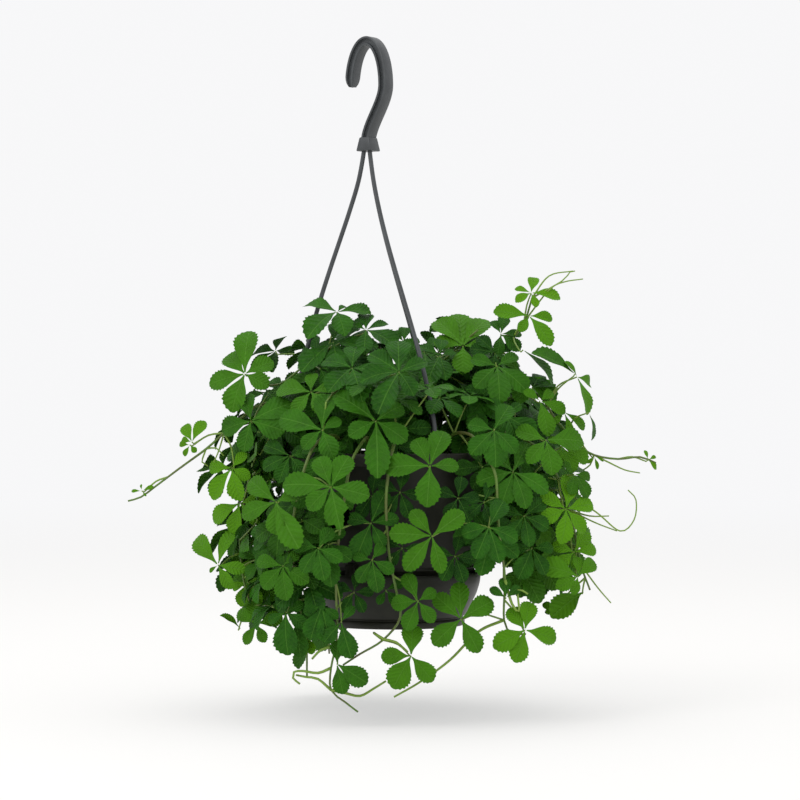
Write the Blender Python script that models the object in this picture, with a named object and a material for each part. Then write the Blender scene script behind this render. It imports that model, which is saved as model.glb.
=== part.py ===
"""A five-leaved creeper in a hanging pot, with saucer, soil, a three-strand hanger with its hook, and vines.

Metres, +Z up. The origin is inside the crown of the hook, where it sits on the rail that holds it.
The front of the plant faces -Y and its right side +X.
"""

import random
from collections import namedtuple
from math import cos, degrees, pi, radians, sin

import bmesh
import bpy
from mathutils import Matrix, Vector
from mathutils.bvhtree import BVHTree

MM = 0.001

# Driving dimensions
RIM_Z = -333 * MM  # top of the pot's rim below the crown of the hook
RIM_R = 85.5 * MM
POT_X = 20.5 * MM  # the pot hangs a little to the right of its hook
POT_H = 134 * MM
WALL = 1.6 * MM
SOIL_DROP = 14 * MM  # soil level below the rim
GAP = 0.3 * MM
SAUCER_RIM_Z = -430.5 * MM
BASE_Z = -474.1 * MM  # underside of the saucer
STRAND_R = 1.9 * MM
STRAND_RIM_R = 80.8 * MM  # circle of the strands at the rim
STRAND_AZIMUTHS = {"strand_left": 180, "strand_front": -65, "strand_back": 65}
DRAINS = 6
SIDES = 24

AXIS = Vector((POT_X, 0, 0))
SOIL_Z = RIM_Z - SOIL_DROP

# The picture's scale at the pot's axis, and its eye: a level one, this far in front of the axis
MM_PER_PX = 0.82 * MM
EYE = Vector((POT_X + 6 * MM_PER_PX, -2.3, -290.4 * MM))
PICTURE_MIDDLE = 400


# Helpers


def clear_scene():
    for obj in list(bpy.data.objects):
        bpy.data.objects.remove(obj)


def plain_material(name, colour, roughness, metallic=0.0):
    """A Principled material with one colour."""
    material = bpy.data.materials.new(name)
    material.use_nodes = True
    shader = material.node_tree.nodes["Principled BSDF"]
    shader.inputs["Base Color"].default_value = colour
    shader.inputs["Roughness"].default_value = roughness
    shader.inputs["Metallic"].default_value = metallic
    return material


def new_object(name, verts, faces, material=None):
    """An object from points and faces in world coordinates."""
    mesh = bpy.data.meshes.new(name)
    mesh.from_pydata([tuple(v) for v in verts], [], faces)
    mesh.update()
    obj = bpy.data.objects.new(name, mesh)
    bpy.context.scene.collection.objects.link(obj)
    if material:
        mesh.materials.append(material)
    return obj


def turned(name, profile, material, closed):
    """A turned solid about the pot's axis from (radius, z) points, listed so that the spin faces outwards.

    A closed profile makes a ring; an open one starts and ends on the axis.
    """
    bm = bmesh.new()
    points = [bm.verts.new((r, 0, z)) for r, z in profile]
    pairs = list(zip(points, points[1:]))
    if closed:
        pairs.append((points[-1], points[0]))
    edges = [bm.edges.new(pair) for pair in pairs]
    whole, up = points + edges, (0, 0, 1)
    bmesh.ops.spin(bm, geom=whole, cent=(0, 0, 0), axis=up, angle=2 * pi, steps=SIDES, use_merge=True)
    bmesh.ops.remove_doubles(bm, verts=bm.verts, dist=0.01 * MM)
    bmesh.ops.translate(bm, verts=bm.verts, vec=AXIS)
    bmesh.ops.recalc_face_normals(bm, faces=bm.faces)
    mesh = bpy.data.meshes.new(name)
    bm.to_mesh(mesh)
    bm.free()
    mesh.materials.append(material)
    mesh.shade_smooth()
    mesh.set_sharp_from_angle(angle=radians(35))
    obj = bpy.data.objects.new(name, mesh)
    bpy.context.scene.collection.objects.link(obj)
    return obj


def block(name, centre, size, azimuth_deg, top_size=None):
    """A box, or a tapered block where the top has its own size, turned about +Z."""
    top_size = top_size or size[:2]
    corners = ((-1, -1), (1, -1), (1, 1), (-1, 1))
    low = [(x * size[0] / 2, y * size[1] / 2, -size[2] / 2) for x, y in corners]
    high = [(x * top_size[0] / 2, y * top_size[1] / 2, size[2] / 2) for x, y in corners]
    turn = Matrix.Translation(centre) @ Matrix.Rotation(radians(azimuth_deg), 4, "Z")
    faces = [(3, 2, 1, 0), (4, 5, 6, 7), (0, 1, 5, 4), (1, 2, 6, 5), (2, 3, 7, 6), (3, 0, 4, 7)]
    return new_object(name, [turn @ Vector(p) for p in low + high], faces)


def cylinder(name, centre, radius, height, sides=8):
    """An upright prism with round sides."""
    foot = Vector(centre) - Vector((0, 0, height / 2))
    rings = []
    for z in (0, height):
        rings.append([foot + Vector((radius * cos(a), radius * sin(a), z)) for a in circle(sides)])
    faces = [tuple(reversed(range(sides))), tuple(range(sides, 2 * sides))]
    faces += [(j, (j + 1) % sides, sides + (j + 1) % sides, sides + j) for j in range(sides)]
    return new_object(name, rings[0] + rings[1], faces)


def circle(sides):
    return [2 * pi * j / sides for j in range(sides)]


def boolean(target, others, operation, solver="EXACT"):
    """Joins or cuts the others with the target, applies it and removes them."""
    group = bpy.data.collections.new(target.name + "_tools")
    bpy.context.scene.collection.children.link(group)
    for obj in others:
        group.objects.link(obj)
    modifier = target.modifiers.new(operation.lower(), "BOOLEAN")
    modifier.operand_type = "COLLECTION"
    modifier.collection = group
    modifier.operation = operation
    modifier.solver = solver
    bpy.context.view_layer.update()
    graph = bpy.context.evaluated_depsgraph_get()
    mesh = bpy.data.meshes.new_from_object(target.evaluated_get(graph))
    target.modifiers.clear()
    target.data = mesh
    for obj in others:
        bpy.data.objects.remove(obj)
    bpy.data.collections.remove(group)
    return target


def smooth_route(points, step):
    """Points about a step apart along a smooth curve through the given ones."""
    ends = [points[0] * 2 - points[1], *points, points[-1] * 2 - points[-2]]
    route = []
    for a, b, c, d in zip(ends, ends[1:], ends[2:], ends[3:]):
        count = max(1, round((c - b).length / step))
        for k in range(count):
            t = k / count
            square = (2 * a - 5 * b + 4 * c - d) * t**2
            cube = (3 * b - a - 3 * c + d) * t**3
            route.append(0.5 * (2 * b + (c - a) * t + square + cube))
    route.append(points[-1].copy())
    return route


def tube(route, radii, sides):
    """Points and faces of a closed tube along a route, with a radius at each point."""
    verts, faces = [], []
    side = None
    for k, point in enumerate(route):
        ahead = (route[min(k + 1, len(route) - 1)] - route[max(k - 1, 0)]).normalized()
        if side is None:
            side = ahead.orthogonal().normalized()
        side = (side - ahead * side.dot(ahead)).normalized()
        other = ahead.cross(side)
        verts += [point + (side * cos(a) + other * sin(a)) * radii[k] for a in circle(sides)]
    for k in range(len(route) - 1):
        for j in range(sides):
            a, b = k * sides + j, k * sides + (j + 1) % sides
            faces.append((a, b, b + sides, a + sides))
    faces.append(tuple(reversed(range(sides))))
    faces.append(tuple(range((len(route) - 1) * sides, len(route) * sides)))
    return verts, faces


def smoothstep(t):
    return t * t * (3 - 2 * t)


# Pot, saucer and soil


def pot_profile():
    """(radius, z) of the pot's wall: rolled rim with a turned-down skirt, tapered wall, rounded foot."""
    z = RIM_Z
    base = RIM_Z - POT_H
    outside = [
        (RIM_R, z - 1 * MM),
        (RIM_R, z - 10 * MM),
        (84.0 * MM, z - 10 * MM),
        (84.0 * MM, z - 2.2 * MM),
        (77.2 * MM, z - 2.2 * MM),
        (72.5 * MM, z - 62 * MM),
        (66.6 * MM, z - 92 * MM),
        (68.4 * MM, z - 93.5 * MM),
        (66.2 * MM, z - 95 * MM),
        (59.0 * MM, z - 121 * MM),
        (50.0 * MM, base),
        (0, base),
    ]
    inside = [
        (0, base + WALL),
        (49.0 * MM, base + WALL),
        (57.2 * MM, z - 120 * MM),
        (64.8 * MM, z - 92 * MM),
        (70.8 * MM, z - 62 * MM),
        (75.6 * MM, z),
        (84.5 * MM, z),
    ]
    return outside + inside


def make_pot(material):
    """The pot, with three strand holes through its rim and drain slots round its foot."""
    profile = pot_profile()
    last = profile.index((0, RIM_Z - POT_H))
    pot = turned("pot", profile[last:] + profile[: last + 1], material, closed=False)
    cutters = []
    for name, azimuth in STRAND_AZIMUTHS.items():
        place = AXIS + polar(STRAND_RIM_R, azimuth, RIM_Z)
        cutters.append(cylinder("hole_" + name, place, 1.75 * MM, 8 * MM))
    for k in range(DRAINS):
        azimuth = 360 / DRAINS * k + 30
        place = AXIS + polar(38 * MM, azimuth, RIM_Z - POT_H)
        cutters.append(block(f"drain_{k}", place, (14 * MM, 3 * MM, 8 * MM), azimuth))
    return boolean(pot, cutters, "DIFFERENCE")


def polar(radius, azimuth_deg, z=0.0):
    a = radians(azimuth_deg)
    return Vector((radius * cos(a), radius * sin(a), z))


def make_saucer(material):
    """A bowl that closes round the pot's foot, on a foot ring, with three clips over the pot's bead."""
    rim = SAUCER_RIM_Z
    floor = BASE_Z + 5.5 * MM
    outer = [
        (70.2 * MM, rim),
        (71.2 * MM, rim - 2 * MM),
        (70.4 * MM, rim - 9 * MM),
        (67.6 * MM, rim - 18 * MM),
        (63.0 * MM, rim - 27 * MM),
        (58.5 * MM, rim - 35.5 * MM),
        (56.0 * MM, rim - 37 * MM),
        (58.0 * MM, rim - 38.5 * MM),
        (58.0 * MM, BASE_Z + 1 * MM),
        (57.0 * MM, BASE_Z),
        (0, BASE_Z),
    ]
    inner = [
        (0, floor),
        (53.5 * MM, floor),
        (61.0 * MM, rim - 27 * MM),
        (66.0 * MM, rim - 18 * MM),
        (68.8 * MM, rim - 9 * MM),
        (69.2 * MM, rim),
    ]
    saucer = turned("saucer", inner + outer, material, closed=False)
    clips = []
    nose, leg = (2.4 * MM, 9 * MM, 3 * MM), (1.3 * MM, 9 * MM, 10 * MM)
    for azimuth in (0, 120, 240):
        place = AXIS + polar(69.0 * MM, azimuth, RIM_Z - 90.2 * MM)
        clips.append(block(f"clip_{azimuth}", place, nose, azimuth))
        place = AXIS + polar(69.6 * MM, azimuth, RIM_Z - 95 * MM)
        clips.append(block(f"leg_{azimuth}", place, leg, azimuth))
    return boolean(saucer, clips, "UNION")


def make_soil(material, roots):
    """The root ball and soil, a little mounded, with a plain hole for each stem."""
    base = RIM_Z - POT_H + WALL + GAP
    profile = [
        (0, base),
        (48.4 * MM, base),
        (56.7 * MM, RIM_Z - 120 * MM),
        (64.4 * MM, RIM_Z - 92 * MM),
        (70.4 * MM, RIM_Z - 62 * MM),
        (73.6 * MM, SOIL_Z - 2 * MM),
        (68.0 * MM, SOIL_Z),
        (0, SOIL_Z),
    ]
    soil = turned("soil", list(reversed(profile)), material, closed=False)
    holes = [cylinder(f"root_{k}", root, ROOT_HOLE_R, 2 * ROOT_HOLE_DEPTH, 5) for k, root in enumerate(roots)]
    return boolean(soil, holes, "DIFFERENCE")


# Hook and strands

HOOK_TURN = radians(35)  # the hook's plane is turned this far from square to the viewer
HOOK_U = Vector((cos(HOOK_TURN), -sin(HOOK_TURN), 0))  # from the tip towards the body
HOOK_N = Vector((sin(HOOK_TURN), cos(HOOK_TURN), 0))
HOOK_THICK = 7.5 * MM
HOOK_WIDE = 11.4 * MM
HOOK_GROOVE = 2.4 * MM
HOOK_RIB = 1.9 * MM
ARCH_U = 16.8 * MM
ARCH_Z = 36.7 * MM
ARCH_CENTRE_Z = HOOK_THICK / 2 - ARCH_Z
SWEEP_END_Z = -80 * MM
SOCKET_TOP_Z = -75 * MM
SOCKET_END_Z = -86.5 * MM
SOCKET_U = -0.8 * MM  # the socket's middle, in the hook's plane
HEAD_R = 3.4 * MM  # circle of the strands in the socket
ARCH_STEPS = 14
SWEEP_STEPS = 5


def hook_route():
    """Centreline of the hook in its own plane, from the tip over the crown and down to the socket."""
    points = []
    for k in range(ARCH_STEPS + 1):
        a = pi * (1 - k / ARCH_STEPS)
        points.append((ARCH_U * cos(a), ARCH_CENTRE_Z + ARCH_Z * sin(a)))
    for k in range(1, SWEEP_STEPS + 1):
        t = k / SWEEP_STEPS
        z = ARCH_CENTRE_Z + (SWEEP_END_Z - ARCH_CENTRE_Z) * t
        points.append((ARCH_U * (1 - smoothstep(t)) + SOCKET_U * smoothstep(t), z))
    return [HOOK_U * u + Vector((0, 0, z)) for u, z in points]


def hook_section():
    """(across the plane, in the plane) outline of the bar: an H, with a groove down each flat side."""
    w, t = HOOK_WIDE / 2, HOOK_THICK / 2
    g, r = w - HOOK_GROOVE, t - HOOK_RIB
    right = [(w, -t), (w, -r), (g, -r), (g, r), (w, r), (w, t)]
    left = [(-x, y) for x, y in reversed(right)]
    return [left[-1], *right, *left[:-1]]


def make_hook(material):
    """The moulded hook: a grooved bar that ends in a socket with three blind holes for the strands."""
    route = hook_route()
    section = hook_section()
    count = len(section)
    verts, faces = [], []
    for k, point in enumerate(route):
        ahead = (route[min(k + 1, len(route) - 1)] - route[max(k - 1, 0)]).normalized()
        inward = ahead.cross(HOOK_N)
        shrink = 0.72 if k == 0 else 1.0
        verts += [point + (HOOK_N * a + inward * b) * shrink for a, b in section]
    for k in range(len(route) - 1):
        for j in range(count):
            a, b = k * count + j, k * count + (j + 1) % count
            faces.append((a, b, b + count, a + count))
    faces.append(tuple(reversed(range(count))))
    faces.append(tuple(range((len(route) - 1) * count, len(route) * count)))
    hook = new_object("hook", verts, faces, material)
    bm = bmesh.new()
    bm.from_mesh(hook.data)
    bmesh.ops.recalc_face_normals(bm, faces=bm.faces)
    bmesh.ops.triangulate(bm, faces=bm.faces)
    bm.to_mesh(hook.data)
    bm.free()
    middle = HOOK_U * SOCKET_U + Vector((0, 0, (SOCKET_TOP_Z + SOCKET_END_Z) / 2))
    foot = (15 * MM, 14.5 * MM, SOCKET_TOP_Z - SOCKET_END_Z)
    socket = block("socket", middle, foot, -degrees(HOOK_TURN), (10 * MM, 12 * MM))
    boolean(hook, [socket], "UNION")
    holes = [
        cylinder(f"blind_{name}", head_place(azimuth, SOCKET_END_Z), STRAND_R + GAP, 17 * MM)
        for name, azimuth in STRAND_AZIMUTHS.items()
    ]
    return boolean(hook, holes, "DIFFERENCE")


def head_place(azimuth_deg, z):
    """Where a strand stands in the hook's socket."""
    return Vector((SOCKET_U, 0, z)) + polar(HEAD_R, azimuth_deg)


# How each strand bows: an exponent that moves the bend up, and a share of ease against a straight line
STRAND_BOWS = {"strand_left": (0.77, 1.0), "strand_front": (1.0, 0.6), "strand_back": (1.0, 0.6)}
STRAND_STEPS = 10
# A strand's end below the last point of its route: (drop, radius) of the neck in the rim's hole and the barb
STRAND_END = ((5.2, 1.4), (8.6, 1.4), (9.0, 2.1), (10.4, 2.2), (13.0, 1.2))


def strand_route(name):
    """Centreline of a strand: straight in the socket, then bowed down to its hole in the rim."""
    azimuth = STRAND_AZIMUTHS[name]
    bow, ease = STRAND_BOWS[name]
    top = head_place(azimuth, SOCKET_END_Z)
    end = AXIS + polar(STRAND_RIM_R, azimuth, RIM_Z + 6 * MM)
    route = [top + Vector((0, 0, 7.5 * MM))]
    for k in range(STRAND_STEPS + 1):
        v = k / STRAND_STEPS
        f = v * (1 - ease) + smoothstep(v**bow) * ease
        z = top.z + (end.z - top.z) * v
        flat = top.lerp(end, f)
        route.append(Vector((flat.x, flat.y, z)))
    return route


def make_strand(name, material):
    """One strand with its barbed end, which passes through the rim and holds it from below."""
    route = strand_route(name)
    radii = [STRAND_R] * len(route)
    foot = route[-1]
    for drop, radius in STRAND_END:
        route.append(foot - Vector((0, 0, drop * MM)))
        radii.append(radius * MM)
    verts, faces = tube(route, radii, 6)
    return new_object(name, verts, faces, material)


# Vines and leaves: how the plant grows

ROOT_HOLE_DEPTH = 9 * MM
ROOT_DEPTH = 7 * MM
STEM_R = 1.5 * MM
ROOT_HOLE_R = 2.3 * MM
STEM_STEP = 22 * MM
STEM_ROOM = 6 * MM  # between the middles of two stems
STRAND_ROOM = 9 * MM  # between the middles of a stem and a strand
ROOM_PASSES = 40
PETIOLE_R = 0.8 * MM
BLADE_HALF = 0.55 * MM
ROOM = 0.45 * MM  # round a leaf or its stalk, to the next node
SHIFTS = (0, -5, 5, -10, 10, -16, 16, -24, 24, -34, 34)  # mm in depth that a leaf may move to find room
LEAF_EVERY = 1.9  # points of a stem between the leaves at the sides and back
TRIES = 5  # for each of those leaves
LEAFLET_ANGLES = (-128, -66, 0, 66, 128)
LEAFLET_SHARES = (0.74, 0.96, 1.0, 0.96, 0.74)

Vine = namedtuple("Vine", "name waypoints")
SeenLeaf = namedtuple("SeenLeaf", "vine x y depth right up youth tips")


def seen(x_px, y_px, depth):
    """The place behind a pixel of the picture, at a depth behind the pot's axis (negative is in front)."""
    reach = 1 + depth / -EYE.y
    across = (x_px - PICTURE_MIDDLE) * MM_PER_PX * reach
    down = (y_px - PICTURE_MIDDLE) * MM_PER_PX * reach
    return Vector((EYE.x + across, depth, EYE.z - down))


# Each vine: name, root on the soil (mm right of the pot's axis and behind it), then its way as
# (x px, y px, depth mm)
SEEN_VINES = [
    ("vine_01", (-53, -14), [(322, 430, -18), (296, 404, -26), (262, 404, -34), (224, 433, -40),
                             (206, 449, -42), (180, 468, -42), (156, 486, -42), (141, 497, -42),
                             (128, 501, -42)]),
    ("vine_02", (-46, 24), [(326, 435, 30), (292, 420, 36), (262, 440, 30), (247, 490, 20),
                            (240, 540, 8), (246, 590, 2), (257, 622, 0)]),
    ("vine_03", (-41, -33), [(336, 436, -66), (314, 446, -96), (299, 490, -104), (292, 540, -98),
                             (298, 600, -92), (306, 640, -88), (307, 678, -88)]),
    ("vine_04", (-30, 2), [(348, 430, 0), (338, 380, -4), (328, 350, -12), (304, 366, -20), (280, 384, -28),
                           (256, 384, -34)]),
    ("vine_05", (-12, -20), [(374, 430, -36), (364, 395, -54), (344, 384, -72), (326, 402, -90)]),
    ("vine_06", (6, 20), [(402, 425, 24), (422, 385, 22), (444, 360, 14), (463, 343, 6), (478, 330, 0)]),
    ("vine_07", (28, 10), [(434, 430, 10), (470, 388, 8), (503, 352, 0), (524, 322, -8), (532, 298, -12)]),
    ("vine_08", (46, -4), [(462, 436, -6), (500, 402, -14), (536, 394, -22), (556, 420, -28), (578, 444, -30),
                           (594, 455, -30), (618, 459, -30), (640, 457, -30), (656, 463, -30)]),
    ("vine_09", (50, -24), [(466, 440, -34), (500, 432, -48), (540, 450, -54), (563, 490, -54),
                            (574, 530, -50), (581, 565, -46), (590, 590, -44)]),
    ("vine_10", (27, -34), [(454, 434, -54), (476, 440, -84), (494, 470, -94), (499, 530, -96),
                            (505, 580, -96), (504, 620, -92), (512, 633, -90), (526, 634, -90)]),
    ("vine_11", (3, -44), [(398, 436, -82), (392, 452, -102), (386, 500, -108), (390, 560, -104),
                           (400, 618, -98), (383, 640, -96), (360, 654, -96), (343, 665, -94)]),
    ("vine_12", (-21, -42), [(366, 438, -84), (352, 460, -104), (342, 515, -112), (336, 570, -108),
                             (337, 620, -104), (336, 645, -102), (331, 668, -102), (331, 690, -102),
                             (345, 702, -102), (358, 712, -102)]),
]

# The vines at the sides and back: azimuth in degrees, then in mm its height over the rim, its reach, and how
# far it hangs under the rim
BACK_VINES = [
    ("vine_13", 8, 34, 118, 132),
    ("vine_14", 36, 62, 128, 70),
    ("vine_15", 46, 98, 92, -50),
    ("vine_16", 80, 40, 122, 150),
    ("vine_17", 98, 88, 112, 10),
    ("vine_18", 118, 46, 126, 176),
    ("vine_19", 140, 82, 118, 30),
    ("vine_20", 158, 38, 124, 112),
]

# Leaves seen in the picture: vine, x px, y px, depth mm, how far the blade faces right and up, youth,
# and the tips of its leaflets in px
SEEN_LEAVES = [
    SeenLeaf("vine_04", 245, 374, -40, -0.3, 0.5, 0.5,
             ((226, 354), (208, 383), (231, 411), (268, 386), (273, 361), (248, 329))),
    SeenLeaf("vine_04", 283, 393, -20, -0.2, 0.9, 0.1,
             ((262, 396), (270, 379), (294, 381), (305, 398), (284, 410))),
    SeenLeaf("vine_04", 337, 312, -16, -0.1, 1.8, 0.2,
             ((307, 335), (304, 303), (347, 306), (371, 311), (345, 333))),
    SeenLeaf("vine_04", 333, 342, -30, -0.2, 1.3, 0.1, ((301, 368), (338, 322), (362, 345), (340, 374))),
    SeenLeaf("vine_01", 251, 421, -56, -0.3, 0.4, 0.3,
             ((221, 430), (243, 451), (284, 430), (290, 402), (246, 393))),
    SeenLeaf("vine_01", 232, 468, -46, -0.5, 0.3, 0.9,
             ((208, 467), (211, 499), (240, 500), (249, 478), (246, 453))),
    SeenLeaf("vine_01", 192, 442, -44, -0.4, 0.5, 0.9, ((184, 424), (204, 420), (181, 440))),
    SeenLeaf("vine_01", 190, 445, -46, -0.4, 0.3, 0.9, ((179, 444), (184, 456), (196, 452))),
    SeenLeaf("vine_01", 142, 491, -43, -0.4, 0.3, 1.0, ((131, 491), (141, 484), (153, 486), (146, 496))),
    SeenLeaf("vine_05", 322, 430, -96, -0.2, 0.5, 0.3,
             ((279, 416), (302, 448), (341, 419), (328, 392), (333, 457))),
    SeenLeaf("vine_05", 376, 421, -98, 0.1, 0.5, 0.3,
             ((335, 392), (349, 435), (378, 476), (407, 440), (403, 404))),
    SeenLeaf("vine_05", 311, 392, -66, -0.4, 0.9, 0.5,
             ((276, 388), (294, 414), (328, 412), (338, 388), (312, 372))),
    SeenLeaf("vine_05", 352, 368, -70, -0.1, 1.2, 0.1,
             ((322, 360), (328, 390), (362, 398), (386, 372), (356, 344))),
    SeenLeaf("vine_03", 331, 487, -124, -0.1, 0.4, 0.4,
             ((282, 484), (308, 509), (340, 528), (369, 495), (349, 455), (318, 456))),
    SeenLeaf("vine_03", 276, 502, -112, -0.4, 0.4, 0.5,
             ((248, 479), (240, 515), (276, 534), (297, 547), (302, 492))),
    SeenLeaf("vine_02", 218, 565, -6, -0.5, 0.4, 0.8,
             ((195, 536), (209, 572), (231, 588), (245, 570), (232, 528))),
    SeenLeaf("vine_02", 240, 503, 4, -0.6, 0.3, 0.9, ((211, 520), (234, 534), (258, 522), (262, 498))),
    SeenLeaf("vine_02", 257, 624, -8, -0.3, 0.3, 0.6,
             ((237, 611), (244, 644), (265, 642), (282, 617), (253, 600))),
    SeenLeaf("vine_02", 248, 582, 10, -0.4, 0.4, 0.9,
             ((232, 589), (240, 606), (259, 605), (266, 580), (246, 560))),
    SeenLeaf("vine_02", 256, 462, 44, -0.5, 0.6, 0.3,
             ((228, 450), (234, 482), (262, 494), (284, 470), (266, 436))),
    SeenLeaf("vine_03", 322, 606, -106, -0.1, 0.2, 0.0, ((303, 612), (310, 640), (330, 643), (338, 618))),
    SeenLeaf("vine_03", 286, 612, -98, -0.3, 0.2, 0.1, ((268, 622), (287, 655), (306, 626), (303, 603))),
    SeenLeaf("vine_03", 283, 566, -108, -0.3, 0.3, 0.4,
             ((256, 560), (262, 588), (286, 600), (308, 582), (300, 552))),
    SeenLeaf("vine_06", 463, 346, -2, 0.0, 0.9, 0.6,
             ((435, 318), (434, 340), (463, 372), (488, 346), (487, 317), (458, 311))),
    SeenLeaf("vine_06", 424, 352, 26, 0.0, 1.2, 0.1,
             ((398, 344), (402, 376), (430, 386), (450, 366), (440, 338))),
    SeenLeaf("vine_07", 531, 293, -14, 0.2, 0.8, 1.0,
             ((534, 276), (515, 288), (516, 301), (537, 306), (561, 297))),
    SeenLeaf("vine_07", 529, 316, -22, 0.2, 0.6, 0.8, ((494, 310), (520, 331), (552, 344), (553, 318))),
    SeenLeaf("vine_07", 521, 374, -16, 0.3, 0.6, 0.4, ((503, 356), (496, 386), (520, 402), (557, 399))),
    SeenLeaf("vine_07", 497, 366, -32, 0.1, 0.7, 0.3,
             ((471, 358), (475, 386), (500, 402), (528, 390), (518, 354))),
    SeenLeaf("vine_07", 476, 402, -30, 0.0, 0.7, 0.1,
             ((448, 392), (452, 420), (478, 436), (504, 418), (494, 384))),
    SeenLeaf("vine_08", 577, 377, -34, 1.5, 0.6, 0.7, ((590, 414), (566, 361), (592, 384))),
    SeenLeaf("vine_08", 540, 401, -44, 0.3, 0.5, 0.6, ((524, 390), (549, 435), (566, 412), (553, 391))),
    SeenLeaf("vine_08", 564, 412, -36, 0.6, 0.3, 0.7, ((586, 429), (571, 441), (552, 424))),
    SeenLeaf("vine_08", 594, 456, -32, 0.4, 0.4, 0.9, ((604, 461), (598, 469), (588, 463))),
    SeenLeaf("vine_08", 648, 460, -32, 0.4, 0.4, 1.0, ((645, 450), (656, 456), (657, 469))),
    SeenLeaf("vine_09", 513, 472, -88, 0.2, 0.5, 0.3,
             ((477, 481), (502, 503), (527, 507), (549, 491), (529, 441), (488, 448))),
    SeenLeaf("vine_09", 494, 430, -80, 0.1, 0.5, 0.2,
             ((468, 424), (471, 453), (496, 466), (516, 452), (510, 404))),
    SeenLeaf("vine_09", 566, 509, -70, 0.4, 0.4, 0.9,
             ((571, 473), (541, 495), (541, 520), (562, 543), (585, 533), (594, 503))),
    SeenLeaf("vine_09", 574, 552, -58, 0.4, 0.4, 0.9,
             ((552, 545), (556, 567), (575, 568), (597, 549), (588, 530))),
    SeenLeaf("vine_09", 578, 576, -66, 0.4, 0.3, 0.7,
             ((541, 564), (557, 588), (573, 594), (595, 560), (577, 556))),
    SeenLeaf("vine_09", 546, 440, -64, 0.3, 0.5, 0.5, ((516, 430), (528, 462), (553, 474), (584, 440))),
    SeenLeaf("vine_10", 432, 536, -122, 0.0, 0.2, 0.5,
             ((389, 533), (405, 570), (442, 573), (464, 512), (411, 510))),
    SeenLeaf("vine_10", 489, 527, -114, 0.1, 0.4, 0.0,
             ((462, 534), (476, 558), (500, 562), (518, 540), (504, 500))),
    SeenLeaf("vine_10", 461, 619, -104, 0.0, 0.3, 0.5,
             ((459, 581), (434, 594), (433, 644), (479, 652), (493, 600))),
    SeenLeaf("vine_10", 525, 630, -96, 0.2, 0.3, 0.8,
             ((529, 601), (509, 608), (494, 647), (516, 662), (557, 639))),
    SeenLeaf("vine_10", 506, 598, -100, 0.2, 0.3, 0.1, ((490, 588), (504, 577), (520, 586))),
    SeenLeaf("vine_11", 430, 466, -112, 0.0, 0.4, 0.4,
             ((384, 467), (427, 506), (459, 466), (444, 430), (415, 438))),
    SeenLeaf("vine_11", 418, 601, -110, 0.0, 0.3, 0.4,
             ((405, 573), (391, 604), (406, 630), (434, 622), (436, 590))),
    SeenLeaf("vine_11", 411, 656, -104, 0.0, 0.3, 0.6, ((381, 656), (393, 688), (433, 681), (413, 624))),
    SeenLeaf("vine_11", 372, 560, -116, 0.0, 0.3, 0.2,
             ((352, 556), (358, 582), (378, 592), (394, 572), (384, 544))),
    SeenLeaf("vine_12", 337, 664, -108, -0.1, 0.2, 0.3, ((367, 683), (343, 694), (338, 640))),
    SeenLeaf("vine_12", 341, 622, -112, -0.1, 0.2, 0.1, ((351, 658), (324, 642), (354, 606))),
    SeenLeaf("vine_12", 318, 548, -124, -0.2, 0.3, 0.2,
             ((292, 544), (302, 572), (324, 580), (342, 560), (332, 528))),
]

# Tendrils seen in the picture: vine and way
SEEN_TENDRILS = [
    ("vine_07", [(526, 318, -9), (549, 290, -12), (564, 282, -12), (583, 279, -12)]),
    ("vine_07", [(530, 304, -11), (549, 276, -12), (573, 271, -12)]),
    ("vine_09", [(584, 575, -46), (598, 588, -46), (611, 603, -46)]),
    ("vine_09", [(566, 498, -54), (596, 512, -60), (620, 531, -62), (634, 520, -62), (636, 500, -62),
                 (628, 490, -62)]),
    ("vine_10", [(504, 620, -92), (478, 632, -92), (450, 660, -92), (420, 682, -92), (394, 697, -92)]),
    ("vine_12", [(336, 645, -102), (321, 650, -100), (312, 659, -98)]),
]


def grown_vines():
    """Every vine's name and way, in world coordinates, as they grow before they make room for each other."""
    vines = []
    for name, root, way in SEEN_VINES:
        start = AXIS + Vector((root[0] * MM, root[1] * MM, SOIL_Z))
        points = [seen(x, y, depth * MM) for x, y, depth in way]
        vines.append(Vine(name, [start, *points]))
    rng = random.Random(11)
    for name, azimuth, height, reach, hang in BACK_VINES:
        start = AXIS + polar(rng.uniform(34, 50) * MM, azimuth + rng.uniform(-8, 8), SOIL_Z)
        points = [
            AXIS + polar(62 * MM, azimuth, RIM_Z + 0.8 * height * MM),
            AXIS + polar(0.8 * reach * MM, azimuth + rng.uniform(-5, 5), RIM_Z + height * MM),
            AXIS + polar(reach * MM, azimuth + rng.uniform(-7, 7), RIM_Z + 0.35 * height * MM),
        ]
        count = max(0, round(hang / 45))
        for k in range(1, count + 1):
            radius = (reach + rng.uniform(-6, 6)) * MM
            points.append(AXIS + polar(radius, azimuth + rng.uniform(-11, 11), RIM_Z - hang * k / count * MM))
        vines.append(Vine(name, [start, *points]))
    return vines


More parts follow.
